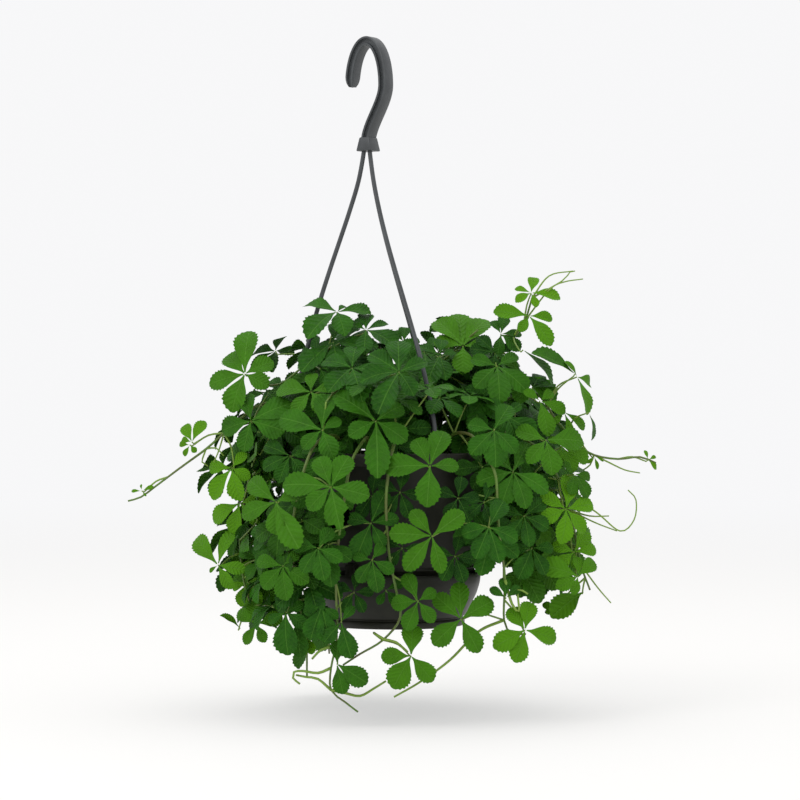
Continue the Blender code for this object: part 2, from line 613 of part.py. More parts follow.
def routes_with_room(vines, strands):
    """The stems' routes, pushed clear of each other, of the strands and of the pot's rim."""
    routes = {}
    for vine in vines:
        root = vine.waypoints[0]
        route = smooth_route([root + Vector((0, 0, 6 * MM)), *vine.waypoints[1:]], STEM_STEP)
        routes[vine.name] = [root - Vector((0, 0, ROOT_DEPTH)), *route]
    names = list(routes)
    for _ in range(ROOM_PASSES):
        for name in names:
            for k, point in enumerate(routes[name]):
                if k < 2:
                    continue
                push = Vector()
                for other in names:
                    if other == name:
                        continue
                    for a, b in zip(routes[other], routes[other][1:]):
                        push += away(point, a, b, STEM_ROOM)
                for strand in strands:
                    for a, b in zip(strand, strand[1:]):
                        push += away(point, a, b, STRAND_ROOM)
                flat = Vector((point.x - AXIS.x, point.y, 0))
                if RIM_Z - POT_H < point.z < RIM_Z + 7 * MM and 60 * MM < flat.length < 95 * MM:
                    if flat.length > 80 * MM or point.z < RIM_Z - 14 * MM:
                        push += flat.normalized() * 2 * MM
                    else:
                        push += Vector((0, 0, 2 * MM))
                routes[name][k] = point + push * 0.5
    return routes


def away(point, a, b, reach):
    """A push that moves the point off the line from a to b, where it is nearer than the reach."""
    line = b - a
    t = max(0.0, min(1.0, (point - a).dot(line) / line.length_squared))
    apart = point - (a + line * t)
    if apart.length >= reach:
        return Vector()
    return apart.normalized() * (reach - apart.length)


def leaf_from_tips(junction, normal, tips):
    """Leaflets as (tip, across, length), round the junction anticlockwise as its face shows them."""
    start = (tips[0] - junction).normalized()
    other = normal.cross(start)
    leaflets = []
    for tip in tips:
        arm = tip - junction
        across = normal.cross(arm).normalized()
        leaflets.append((math_angle(arm.dot(start), arm.dot(other)), tip, across, arm.length))
    return sorted(leaflets, key=lambda leaflet: leaflet[0])


def math_angle(x, y):
    return Vector((1, 0)).angle_signed(Vector((x, y))) * -1 % (2 * pi)


# One leaflet's outline: share of its length along the rib, share to the side, and lift over the blade's plane
LEAFLET_SIDE = ((0.67, 0.28, 0.03), (0.76, 0.17, 0.01))
BLADE_POINTS = 4 + 2 * len(LEAFLET_SIDE)


def blade_mesh(junction, normal, tips, half, stalk=()):
    """Points and triangles of one leaf: leaflets cut to the rib, each a thin folded lens with a toothed tip.

    The stalk is a list of points that leads away from the underside; its tube grows out of the blade.
    """
    leaflets = leaf_from_tips(junction, normal, tips)
    count = len(leaflets)
    verts = [junction + normal * half, junction - normal * half]
    notches = []
    for k, (angle, tip, _, length) in enumerate(leaflets):
        before = leaflets[k - 1]
        gap = (angle - before[0]) % (2 * pi)
        arm_before = (before[1] - junction) / before[3]
        middle = (tip - junction) / length + arm_before
        if gap > pi * 0.95 or middle.length < 0.3:
            middle = middle * -1 if gap > pi * 1.05 else normal.cross(arm_before)
        notches.append(junction + middle.normalized() * 0.085 * (length + before[3]))
    faces, link = [], []
    for k, (_, tip, across, length) in enumerate(leaflets):
        base = len(verts)
        arm = tip - junction
        rib = junction + arm * 0.52 + normal * length * -0.005
        verts += [notches[k], rib + normal * half, rib - normal * half]
        for along, side, lift in LEAFLET_SIDE:
            verts.append(junction + arm * along - across * length * side + normal * length * lift)
        verts.append(tip - normal * length * 0.10)
        for along, side, lift in reversed(LEAFLET_SIDE):
            verts.append(junction + arm * along + across * length * side + normal * length * lift)
        outline = list(range(base + 3, base + BLADE_POINTS))
        faces += [(base + 1, a, b) for a, b in zip(outline, outline[1:])]
        faces += [(base + 2, b, a) for a, b in zip(outline, outline[1:])]
        link.append((base, outline[0], base + 1, outline[-1]))
    above = [index for four in link for index in four]
    below = [index + 1 if k % 4 == 2 else index for k, index in enumerate(above)]
    faces += [(0, a, b) for a, b in zip(above, above[1:] + above[:1])]
    if not stalk:
        faces += [(1, b, a) for a, b in zip(below, below[1:] + below[:1])]
        return verts, faces
    side = (verts[below[0]] - junction).normalized()
    other = normal.cross(side)
    rings = [stalk_ring(junction - normal * half, -normal, side)]
    previous = junction - normal * half
    for k, point in enumerate(stalk):
        ahead = stalk[min(k + 1, len(stalk) - 1)] - previous
        rings.append(stalk_ring(point, ahead.normalized(), side))
        previous = point
    numbers = [[1, len(verts), len(verts) + 1]]
    verts[1] = rings[0][0]
    verts += rings[0][1:]
    for ring in rings[1:]:
        numbers.append([len(verts), len(verts) + 1, len(verts) + 2])
        verts += ring
    ring = numbers[0]
    nearest, turn = [0], 0.0
    for index in below[1:]:
        arm = verts[index] - junction
        angle = math_angle(arm.dot(side), arm.dot(other))
        if turn < angle < turn + pi:
            turn = angle
        nearest.append(int(turn / (2 * pi / 3) + 0.5))
    nearest.append(3)
    for a, b, start, stop in zip(below, below[1:] + below[:1], nearest, nearest[1:]):
        faces.append((ring[start % 3], b, a))
        for j in range(start, stop):
            faces.append((ring[j % 3], ring[(j + 1) % 3], b))
    for upper, lower in zip(numbers, numbers[1:]):
        for j in range(3):
            n = (j + 1) % 3
            faces.append((lower[j], lower[n], upper[n]))
            faces.append((lower[j], upper[n], upper[j]))
    faces.append(tuple(reversed(numbers[-1])))
    return verts, faces


def stalk_ring(point, ahead, side):
    """Three points round a stalk that leads ahead."""
    side = (side - ahead * side.dot(ahead)).normalized()
    other = side.cross(ahead)
    return [point + (side * cos(a) + other * sin(a)) * PETIOLE_R for a in circle(3)]


def stalk_way(start, junction, normal, bow):
    """The way of a leaf's stalk, from just under its blade to the middle of the stem."""
    leave = junction - normal * 3.5 * MM
    reach = (start - leave).length
    middle = leave.lerp(start, 0.45) + (Vector((0, 0, 0.16)) - normal * 0.10) * reach * bow
    return [leave, middle, start]


def place_seen(leaf, shift):
    """Junction, normal and tips of a leaf of the picture, which keeps its outline there as it moves back."""
    depth = (leaf.depth + shift) * MM
    junction = seen(leaf.x, leaf.y, depth)
    normal = Vector((leaf.right, -1, leaf.up)).normalized()
    placed = []
    for tip_x, tip_y in leaf.tips:
        flat = seen(tip_x, tip_y, depth) - junction
        lean = -(flat.x * normal.x + flat.z * normal.z) / normal.y
        most = 1.2 * flat.length
        placed.append(seen(tip_x, tip_y, depth + max(-most, min(most, lean))))
    return junction, normal, placed


def grown_leaf(stem, along, rng):
    """Junction, normal and tips of a leaf on one of the vines at the sides and back."""
    k = min(int(along), len(stem) - 2)
    node = stem[k].lerp(stem[k + 1], along - k)
    out = Vector((node.x - AXIS.x, node.y, 0)).normalized()
    side = Vector((-out.y, out.x, 0)) * (1 if int(along * 2) % 2 else -1)
    high = node.z > RIM_Z + 10 * MM
    outwards = out * rng.uniform(0.7, 1.1)
    upwards = Vector((0, 0, rng.uniform(0.5, 1.3 if high else 0.7)))
    normal = (outwards + upwards + side * rng.uniform(-0.3, 0.5)).normalized()
    junction = node + out * rng.uniform(10, 24) * MM + side * rng.uniform(8, 22) * MM
    junction += Vector((0, 0, rng.uniform(4, 16) * MM))
    pointing = out * 0.5 + side * rng.uniform(0.2, 0.7) - Vector((0, 0, 0.9))
    pointing = (pointing - normal * pointing.dot(normal)).normalized()
    size = rng.uniform(27, 36) * MM
    tips = []
    for angle, share in zip(LEAFLET_ANGLES, LEAFLET_SHARES):
        turn = Matrix.Rotation(radians(angle + rng.uniform(-8, 8)), 3, normal)
        tips.append(junction + (turn @ pointing) * size * share * rng.uniform(0.9, 1.08))
    return junction, normal, tips


class Crowd:
    """What stands in the plant so far, by node, to test whether a new piece has room."""

    def __init__(self):
        self.pieces = []

    def add(self, node, verts, faces, kind="stalk"):
        low = [min(v[i] for v in verts) for i in range(3)]
        high = [max(v[i] for v in verts) for i in range(3)]
        self.pieces.append((node, kind, low, high, BVHTree.FromPolygons(verts, faces)))

    def blocked(self, node, verts, faces, own="none"):
        """Whether the piece meets another node, or one of its own node's pieces of one kind."""
        low = [min(v[i] for v in verts) for i in range(3)]
        high = [max(v[i] for v in verts) for i in range(3)]
        tree = None
        for other, kind, other_low, other_high, other_tree in self.pieces:
            if other == node and kind != own:
                continue
            if any(low[i] > other_high[i] or high[i] < other_low[i] for i in range(3)):
                continue
            tree = tree or BVHTree.FromPolygons(verts, faces)
            if tree.overlap(other_tree):
                return True
        return False


def attachments(stem, junction, normal):
    """Points of the stem that a leaf's stalk could spring from, the likeliest first."""
    order = []
    for k in range(2, len(stem)):
        for t in (0.0, 0.5):
            if k + t > len(stem) - 1:
                continue
            point = stem[k].lerp(stem[min(k + 1, len(stem) - 1)], t)
            arm = point - junction
            if arm.dot(normal) > 0.25 * arm.length:
                continue
            low = 5 * MM if arm.z < -10 * MM else 0
            order.append((abs(arm.length - 26 * MM) + low, k, t, point))
    order.sort(key=lambda entry: entry[:3])
    return [entry[3] for entry in order[:9]]


def grow_plant(solids, strands):
    """Tubes and blades of each vine, every one clear of the other nodes: {vine: [(kind, verts, faces)]}."""
    crowd = Crowd()
    for obj in solids:
        faces = [tuple(p.vertices) for p in obj.data.polygons]
        crowd.add(obj.name, [v.co for v in obj.data.vertices], faces)
    routes = routes_with_room(grown_vines(), strands)
    pieces = {}
    for name, route in routes.items():
        radii = [STEM_R * (1 - 0.45 * k / len(route)) for k in range(len(route))]
        stem = tube(route, radii, 4)
        pieces[name] = [stem]
        thick = tube(route[2:], [r + 0.8 * MM for r in radii[2:]], 4)
        if crowd.blocked(name, *thick):
            print("stem", name, "meets another node")
        crowd.add(name, *thick)
    for name, way in SEEN_TENDRILS:
        points = [seen(x, y, depth * MM) for x, y, depth in way]
        points[0] = min(routes[name][2:], key=lambda point: (point - points[0]).length)
        route = smooth_route(points, 14 * MM)
        tendril = tube(route, [(0.8 - 0.25 * k / len(route)) * MM for k in range(len(route))], 3)
        if crowd.blocked(name, *tube(route, [1.3 * MM] * len(route), 3)):
            print("tendril of", name, "meets another node")
            continue
        crowd.add(name, *tendril)
        pieces[name].append(tendril)
    kept = 0
    dropped = []
    for leaf in SEEN_LEAVES:
        if place_leaf(crowd, pieces, routes, leaf.vine, lambda shift, leaf=leaf: place_seen(leaf, shift)):
            kept += 1
        else:
            dropped.append((leaf.vine, leaf.x, leaf.y))
    rng = random.Random(5)
    for name, *_ in BACK_VINES:
        stem = routes[name]
        along = 3.0
        while along < len(stem) - 0.6:
            tries = [grown_leaf(stem, min(along, len(stem) - 1.01), rng) for _ in range(TRIES)]
            if place_leaf(crowd, pieces, routes, name, lambda shift, t=tries: t[SHIFTS.index(shift) % TRIES]):
                kept += 1
            along += LEAF_EVERY
    print("leaves kept", kept, "left out", dropped)
    return pieces


def place_leaf(crowd, pieces, routes, name, placed_at):
    """Finds room for a leaf of the vine, with a stalk from the stem to it, and adds both, or says False."""
    for own in ("blade", "none"):
        for shift in SHIFTS:
            junction, normal, tips = placed_at(shift)
            wide = blade_mesh(junction, normal, tips, BLADE_HALF + ROOM)
            if crowd.blocked(name, *wide, own):
                continue
            for start in attachments(routes[name], junction, normal):
                for bow in (1.0, 0.2, 2.0):
                    way = stalk_way(start, junction, normal, bow)
                    stalk = tube(way, [PETIOLE_R + ROOM] * len(way), 3)
                    if not crowd.blocked(name, *stalk, own):
                        crowd.add(name, *wide, "blade")
                        crowd.add(name, *stalk)
                        pieces[name].append(blade_mesh(junction, normal, tips, BLADE_HALF, way))
                        return True
    return False


def make_vine(name, pieces, material):
    """One leafy stem, fused into a single solid."""
    objects = [new_object(f"{name}_{k}", *piece, material) for k, piece in enumerate(pieces)]
    for obj in objects:
        bm = bmesh.new()
        bm.from_mesh(obj.data)
        bmesh.ops.triangulate(bm, faces=bm.faces)
        bm.to_mesh(obj.data)
        bm.free()
    vine = objects[0]
    vine.name = name
    if len(objects) > 1:
        boolean(vine, objects[1:], "UNION", "MANIFOLD")
    return vine


def main():
    clear_scene()
    plastic = plain_material("grey plastic", (0.045, 0.045, 0.048, 1), 0.4)
    earth = plain_material("peat", (0.05, 0.032, 0.02, 1), 0.95)
    green = plain_material("leaf", (0.08, 0.25, 0.02, 1), 0.5)
    vines = grown_vines()
    strands = [strand_route(name) for name in STRAND_AZIMUTHS]
    soil = make_soil(earth, [vine.waypoints[0] for vine in vines])
    solids = [make_pot(plastic), make_saucer(plastic), soil, make_hook(plastic)]
    solids += [make_strand(name, plastic) for name in STRAND_AZIMUTHS]
    for name, pieces in grow_plant(solids, strands).items():
        make_vine(name, pieces, green)
    total = 0
    for obj in bpy.context.scene.collection.objects:
        if obj.type == "MESH":
            obj.data.calc_loop_triangles()
            total += len(obj.data.loop_triangles)
            print(obj.name, len(obj.data.loop_triangles))
    print("triangles", total)


main()
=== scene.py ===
"""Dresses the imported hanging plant: a small-leaved creeper in a dark plastic pot on a three-strand hanger.

Metres, +Z up. The origin is inside the crown of the hook, and the camera looks along +Y.
"""

import logging
import random
from dataclasses import dataclass, field
from enum import IntEnum
from math import cos, dist, pi, radians, sin
from typing import ClassVar, Iterator, NamedTuple, Optional, Sequence

import bpy
from mathutils import Matrix, Vector
from mathutils.kdtree import KDTree


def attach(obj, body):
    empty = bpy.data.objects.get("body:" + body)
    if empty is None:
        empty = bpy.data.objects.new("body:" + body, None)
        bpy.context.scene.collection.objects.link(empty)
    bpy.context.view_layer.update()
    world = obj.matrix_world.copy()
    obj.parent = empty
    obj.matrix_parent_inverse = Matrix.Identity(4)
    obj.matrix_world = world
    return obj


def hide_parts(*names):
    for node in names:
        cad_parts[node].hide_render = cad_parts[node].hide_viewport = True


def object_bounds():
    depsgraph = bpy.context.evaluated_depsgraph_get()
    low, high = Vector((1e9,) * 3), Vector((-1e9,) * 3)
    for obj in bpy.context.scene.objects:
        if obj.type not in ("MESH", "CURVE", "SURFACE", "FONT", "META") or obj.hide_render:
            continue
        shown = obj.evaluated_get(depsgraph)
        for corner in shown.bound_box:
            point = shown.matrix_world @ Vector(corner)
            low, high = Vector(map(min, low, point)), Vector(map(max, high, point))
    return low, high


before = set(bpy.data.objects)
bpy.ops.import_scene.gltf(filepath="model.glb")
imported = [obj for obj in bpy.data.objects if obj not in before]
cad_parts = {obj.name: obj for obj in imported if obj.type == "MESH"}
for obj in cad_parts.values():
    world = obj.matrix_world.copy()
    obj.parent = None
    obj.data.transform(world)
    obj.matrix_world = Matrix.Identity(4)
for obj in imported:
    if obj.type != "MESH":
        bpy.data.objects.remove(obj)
CAD_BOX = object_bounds()

log = logging.getLogger("hanging plant")

MM = 0.001

# Sizes the solids share
RIM_Z = -333 * MM
RIM_R = 85.5 * MM
POT_X = 20.5 * MM
POT_H = 134 * MM
SOIL_Z = RIM_Z - 14 * MM
BASE_Z = -474.1 * MM
STRAND_R = 1.9 * MM
STRAND_RIM_R = 80.8 * MM
STRAND_AZIMUTHS = {"strand_left": 180, "strand_front": -65, "strand_back": 65}
AXIS = Vector((POT_X, 0, 0))

# The camera: level, in front of the pot, with this much of the pot's middle plane to a pixel
MM_PER_PX = 0.82 * MM
PICTURE_PX = 800
EYE = Vector((POT_X + 6 * MM_PER_PX, -2.3, -290.4 * MM))


# Small helpers


def polar(radius: float, azimuth_deg: float, z: float = 0.0) -> Vector:
    """A point at a radius and an azimuth round the Z axis."""
    a = radians(azimuth_deg)
    return Vector((radius * cos(a), radius * sin(a), z))


def circle(sides: int) -> list[float]:
    """Angles of the corners of a round section."""
    return [2 * pi * j / sides for j in range(sides)]


def smoothstep(t: float) -> float:
    """The usual ease in and out between 0 and 1."""
    return t * t * (3 - 2 * t)


def seen(x_px: float, y_px: float, depth: float) -> Vector:
    """The place behind a pixel of the picture.

    Args:
        x_px: Pixels from the picture's left.
        y_px: Pixels from the picture's top.
        depth: Metres behind the pot's axis, negative in front of it.

    Returns:
        The place in the model's frame.
    """
    reach = 1 + depth / -EYE.y
    middle = PICTURE_PX / 2
    across = (x_px - middle) * MM_PER_PX * reach
    down = (y_px - middle) * MM_PER_PX * reach
    return Vector((EYE.x + across, depth, EYE.z - down))


def pixel(place: Vector) -> tuple[float, float]:
    """The pixel of the picture that a place shows at.

    Args:
        place: The place in the model's frame.

    Returns:
        Pixels from the picture's left and from its top.
    """
    reach = (1 + place.y / -EYE.y) * MM_PER_PX
    middle = PICTURE_PX / 2
    return middle + (place.x - EYE.x) / reach, middle - (place.z - EYE.z) / reach


def smooth_route(points: Sequence[Vector], step: float) -> list[Vector]:
    """Points about a step apart along a smooth curve through the given ones.

    Args:
        points: At least two points.
        step: Metres between points of the result.

    Returns:
        The finer route, with the same ends.
    """
    ends = [points[0] * 2 - points[1], *points, points[-1] * 2 - points[-2]]
    route = []
    for a, b, c, d in zip(ends, ends[1:], ends[2:], ends[3:]):
        count = max(1, round((c - b).length / step))
        bend, swing = 2 * a - 5 * b + 4 * c - d, 3 * b - a - 3 * c + d
        for k in range(count):
            t = k / count
            route.append(0.5 * (2 * b + (c - a) * t + bend * t**2 + swing * t**3))
    route.append(points[-1].copy())
    return route


def linear(hex_colour: str) -> tuple[float, float, float, float]:
    """The linear RGBA of an sRGB colour written as #RRGGBB."""
    channels = [int(hex_colour[k : k + 2], 16) / 255 for k in (1, 3, 5)]
    return (*(c / 12.92 if c <= 0.04045 else ((c + 0.055) / 1.055) ** 2.4 for c in channels), 1.0)


def add_node(
    tree: bpy.types.NodeTree, kind: str, inputs: Optional[dict] = None, **settings: object
) -> bpy.types.Node:
    """Adds a node, sets it up and links it.

    Args:
        tree: The tree to add to.
        kind: The node's type name, such as ShaderNodeMix.
        inputs: By input name or number, a value, or the output socket to link.
        **settings: Properties of the node.

    Returns:
        The new node.
    """
    node = tree.nodes.new(kind)
    for name, value in settings.items():
        setattr(node, name, value)
    for key, value in (inputs or {}).items():
        if isinstance(value, bpy.types.NodeSocket):
            tree.links.new(value, node.inputs[key])
        else:
            node.inputs[key].default_value = value
    return node


def new_material(name: str) -> tuple[bpy.types.Material, bpy.types.NodeTree, bpy.types.Node]:
    """A node material with nothing but its shader.

    Args:
        name: The material's name.

    Returns:
        The material, its tree and its Principled BSDF.
    """
    material = bpy.data.materials.new(name)
    material.use_nodes = True
    tree = material.node_tree
    return material, tree, tree.nodes["Principled BSDF"]


# Finishes


@dataclass(frozen=True)
class MouldedPlastic:
    """Injection-moulded polypropylene, dyed through, with a faint satin skin and a little dust.

    Polypropylene comes out of the mould with a waxy sheen and broad, soft highlights. The grain of the
    spark-eroded mould is about 0.3 mm and is drawn at 0.6 mm, so that it shows.
    """

    name: str
    colour: str
    dusty: str
    roughness: float = 0.42
    sheen: float = 0.5
    grain_mm: float = 0.6
    dust_mm: float = 18.0

    def build(self) -> bpy.types.Material:
        """Mixes the finish.

        Returns:
            The material.
        """
        material, tree, shader = new_material(self.name)
        place = add_node(tree, "ShaderNodeTexCoord").outputs["Object"]
        dust = add_node(
            tree,
            "ShaderNodeTexNoise",
            {"Vector": place, "Scale": 1 / (self.dust_mm * MM), "Detail": 5.0, "Roughness": 0.62},
        )
        share = add_node(tree, "ShaderNodeMapRange", {0: dust.outputs[0], 1: 0.42, 2: 0.75, 4: 0.6})
        colour = add_node(
            tree,
            "ShaderNodeMix",
            {0: share.outputs[0], 6: linear(self.colour), 7: linear(self.dusty)},
            data_type="RGBA",
        )
        tree.links.new(colour.outputs[2], shader.inputs["Base Color"])
        rough = add_node(
            tree,
            "ShaderNodeMapRange",
            {0: dust.outputs[0], 3: self.roughness - 0.06, 4: self.roughness + 0.12},
        )
        tree.links.new(rough.outputs[0], shader.inputs["Roughness"])
        grain = add_node(
            tree, "ShaderNodeTexNoise", {"Vector": place, "Scale": 1 / (self.grain_mm * MM), "Detail": 2.0}
        )
        bump = add_node(
            tree, "ShaderNodeBump", {"Height": grain.outputs[0], "Strength": 0.12, "Distance": 0.1 * MM}
        )
        tree.links.new(bump.outputs[0], shader.inputs["Normal"])
        shader.inputs["IOR"].default_value = 1.49
        shader.inputs["Specular IOR Level"].default_value = self.sheen
        return material


@dataclass(frozen=True)
class PeatMix:
    """Moist peat: nearly black brown, fully matt, with crumbs of 1 to 3 mm and a few pale fibres."""

    name: str = "moist_peat"
    dark: str = "#17110C"
    brown: str = "#3A2A1C"
    fibre: str = "#6E5638"

    def build(self) -> bpy.types.Material:
        """Mixes the finish.

        Returns:
            The material.
        """
        material, tree, shader = new_material(self.name)
        place = add_node(tree, "ShaderNodeTexCoord").outputs["Object"]
        crumbs = add_node(
            tree,
            "ShaderNodeTexNoise",
            {"Vector": place, "Scale": 1 / (3 * MM), "Detail": 6.0, "Roughness": 0.7},
        )
        fibres = add_node(
            tree,
            "ShaderNodeTexNoise",
            {"Vector": place, "Scale": 1 / (2 * MM), "Detail": 3.0, "Distortion": 2.5},
        )
        share = add_node(tree, "ShaderNodeMapRange", {0: crumbs.outputs[0], 1: 0.35, 2: 0.7})
        colour = add_node(
            tree,
            "ShaderNodeMix",
            {0: share.outputs[0], 6: linear(self.dark), 7: linear(self.brown)},
            data_type="RGBA",
        )
        pale = add_node(tree, "ShaderNodeMapRange", {0: fibres.outputs[0], 1: 0.66, 2: 0.74})
        whole = add_node(
            tree,
            "ShaderNodeMix",
            {0: pale.outputs[0], 6: colour.outputs[2], 7: linear(self.fibre)},
            data_type="RGBA",
        )
        tree.links.new(whole.outputs[2], shader.inputs["Base Color"])
        bump = add_node(
            tree, "ShaderNodeBump", {"Height": crumbs.outputs[0], "Strength": 0.9, "Distance": 1.2 * MM}
        )
        tree.links.new(bump.outputs[0], shader.inputs["Normal"])
        shader.inputs["Roughness"].default_value = 0.93
        return material


@dataclass(frozen=True)
class LeafSkin:
    """A creeper's leaf: thin waxed skin over green flesh, paler below, with a pale rib and side veins.

    The skin gives a soft satin highlight. The leaf's own UV map runs along the rib (x) and across it (y),
    both as shares of the leaflet's length. The tint attribute holds youth, shade and underside. The shade is
    painted shade mixed with random tone: it darkens the leaves set deep in the plant. The youth is partly
    the real yellow-green of young leaves and partly painted light, the glow of leaves lit through from
    behind at the plant's edges.
    """

    name: str = "creeper_leaf"
    deep: str = "#103806"
    fresh: str = "#2B630D"
    young: str = "#568E06"
    under: str = "#396429"
    vein: str = "#5C8F34"
    side_veins: float = 8.0

    def build(self) -> bpy.types.Material:
        """Mixes the finish.

        Returns:
            The material.
        """
        material, tree, shader = new_material(self.name)
        place = add_node(tree, "ShaderNodeTexCoord").outputs["Object"]
        leaf_map = add_node(tree, "ShaderNodeUVMap", uv_map="leaf")
        uv = add_node(tree, "ShaderNodeSeparateXYZ", {0: leaf_map.outputs[0]})
        tint = add_node(
            tree,
            "ShaderNodeSeparateColor",
            {0: add_node(tree, "ShaderNodeAttribute", attribute_name="tint").outputs["Color"]},
        )
        middle = add_node(tree, "ShaderNodeMath", {0: uv.outputs[1], 1: 0.5}, operation="SUBTRACT")
        across = add_node(tree, "ShaderNodeMath", {0: middle.outputs[0]}, operation="ABSOLUTE")
        rib = add_node(
            tree, "ShaderNodeMapRange", {0: across.outputs[0], 1: 0.004, 2: 0.018, 3: 1.0, 4: 0.0}
        )
        slant = add_node(
            tree,
            "ShaderNodeMath",
            {0: across.outputs[0], 1: -0.95, 2: uv.outputs[0]},
            operation="MULTIPLY_ADD",
        )
        rows = add_node(
            tree, "ShaderNodeMath", {0: slant.outputs[0], 1: self.side_veins}, operation="MULTIPLY"
        )
        row = add_node(tree, "ShaderNodeMath", {0: rows.outputs[0], 1: 0.5}, operation="PINGPONG")
        side = add_node(tree, "ShaderNodeMapRange", {0: row.outputs[0], 1: 0.0, 2: 0.075, 3: 0.6, 4: 0.0})
        fine = add_node(
            tree,
            "ShaderNodeTexVoronoi",
            {"Vector": place, "Scale": 1 / (2.4 * MM)},
            feature="DISTANCE_TO_EDGE",
        )
        net = add_node(tree, "ShaderNodeMapRange", {0: fine.outputs[0], 1: 0.0, 2: 0.12, 3: 0.22, 4: 0.0})
        veins = add_node(
            tree, "ShaderNodeMath", {0: rib.outputs[0], 1: side.outputs[0]}, operation="MAXIMUM"
        )
        all_veins = add_node(
            tree, "ShaderNodeMath", {0: veins.outputs[0], 1: net.outputs[0]}, operation="MAXIMUM"
        )

        mottle = add_node(
            tree,
            "ShaderNodeTexNoise",
            {"Vector": place, "Scale": 1 / (9 * MM), "Detail": 4.0, "Roughness": 0.6},
        )
        # Painted shade: the tint's shade channel, darker for leaves deep in the plant, and the mottle's
        # random tone mix deep green with fresh green
        shade = add_node(
            tree,
            "ShaderNodeMath",
            {0: mottle.outputs[0], 1: 1.5, 2: tint.outputs[1]},
            operation="MULTIPLY_ADD",
        )
        spread = add_node(tree, "ShaderNodeMapRange", {0: shade.outputs[0], 1: 0.65, 2: 1.65})
        green = add_node(
            tree,
            "ShaderNodeMix",
            {0: spread.outputs[0], 6: linear(self.deep), 7: linear(self.fresh)},
            data_type="RGBA",
        )
        # Painted light in part: youth mixes in yellow-green, which is young growth and also the glow of
        # leaves lit through from behind at the plant's edges
        youth = add_node(tree, "ShaderNodeMath", {0: tint.outputs[0], 1: 1.8}, operation="POWER")
        aged = add_node(
            tree,
            "ShaderNodeMix",
            {0: youth.outputs[0], 6: green.outputs[2], 7: linear(self.young)},
            data_type="RGBA",
        )
        soft = add_node(tree, "ShaderNodeMath", {0: all_veins.outputs[0], 1: 0.38}, operation="MULTIPLY")
        veined = add_node(
            tree,
            "ShaderNodeMix",
            {0: soft.outputs[0], 6: aged.outputs[2], 7: linear(self.vein)},
            data_type="RGBA",
        )
        below = add_node(tree, "ShaderNodeMath", {0: tint.outputs[2], 1: 0.6}, operation="MULTIPLY")
        whole = add_node(
            tree,
            "ShaderNodeMix",
            {0: below.outputs[0], 6: veined.outputs[2], 7: linear(self.under)},
            data_type="RGBA",
        )
        tree.links.new(whole.outputs[2], shader.inputs["Base Color"])

        pucker = add_node(
            tree,
            "ShaderNodeMath",
            {0: row.outputs[0], 1: 1.4, 2: mottle.outputs[0]},
            operation="MULTIPLY_ADD",
        )
        sunk = add_node(
            tree,
            "ShaderNodeMath",
            {0: all_veins.outputs[0], 1: -0.6, 2: pucker.outputs[0]},
            operation="MULTIPLY_ADD",
        )
        bump = add_node(
            tree, "ShaderNodeBump", {"Height": sunk.outputs[0], "Strength": 0.7, "Distance": 0.7 * MM}
        )
        tree.links.new(bump.outputs[0], shader.inputs["Normal"])
        gloss = add_node(tree, "ShaderNodeMapRange", {0: mottle.outputs[0], 3: 0.42, 4: 0.62})
        dull = add_node(
            tree,
            "ShaderNodeMath",
            {0: tint.outputs[2], 1: 0.25, 2: gloss.outputs[0]},
            operation="MULTIPLY_ADD",
        )
        tree.links.new(dull.outputs[0], shader.inputs["Roughness"])
        shader.inputs["IOR"].default_value = 1.42
        shader.inputs["Specular IOR Level"].default_value = 0.14
        return material


@dataclass(frozen=True)
class GreenStem:
    """A soft stem: smooth waxed bark, light green in youth and olive to brown on the older wood."""

    name: str = "creeper_stem"
    green: str = "#4A6A20"
    brown: str = "#4E4426"
    young: str = "#7C9E34"

    def build(self) -> bpy.types.Material:
        """Mixes the finish.

        Returns:
            The material.
        """
        material, tree, shader = new_material(self.name)
        place = add_node(tree, "ShaderNodeTexCoord").outputs["Object"]
        tint = add_node(
            tree,
            "ShaderNodeSeparateColor",
            {0: add_node(tree, "ShaderNodeAttribute", attribute_name="tint").outputs["Color"]},
        )
        patches = add_node(
            tree, "ShaderNodeTexNoise", {"Vector": place, "Scale": 1 / (14 * MM), "Detail": 4.0}
        )
        share = add_node(tree, "ShaderNodeMapRange", {0: patches.outputs[0], 1: 0.45, 2: 0.68})
        bark = add_node(
            tree,
            "ShaderNodeMix",
            {0: share.outputs[0], 6: linear(self.green), 7: linear(self.brown)},
            data_type="RGBA",
        )
        whole = add_node(
            tree,
            "ShaderNodeMix",
            {0: tint.outputs[0], 6: bark.outputs[2], 7: linear(self.young)},
            data_type="RGBA",
        )
        tree.links.new(whole.outputs[2], shader.inputs["Base Color"])
        ridges = add_node(
            tree, "ShaderNodeTexNoise", {"Vector": place, "Scale": 1 / (1.2 * MM), "Detail": 2.0}
        )
        bump = add_node(
            tree, "ShaderNodeBump", {"Height": ridges.outputs[0], "Strength": 0.25, "Distance": 0.2 * MM}
        )
        tree.links.new(bump.outputs[0], shader.inputs["Normal"])
        shader.inputs["Roughness"].default_value = 0.5
        return material


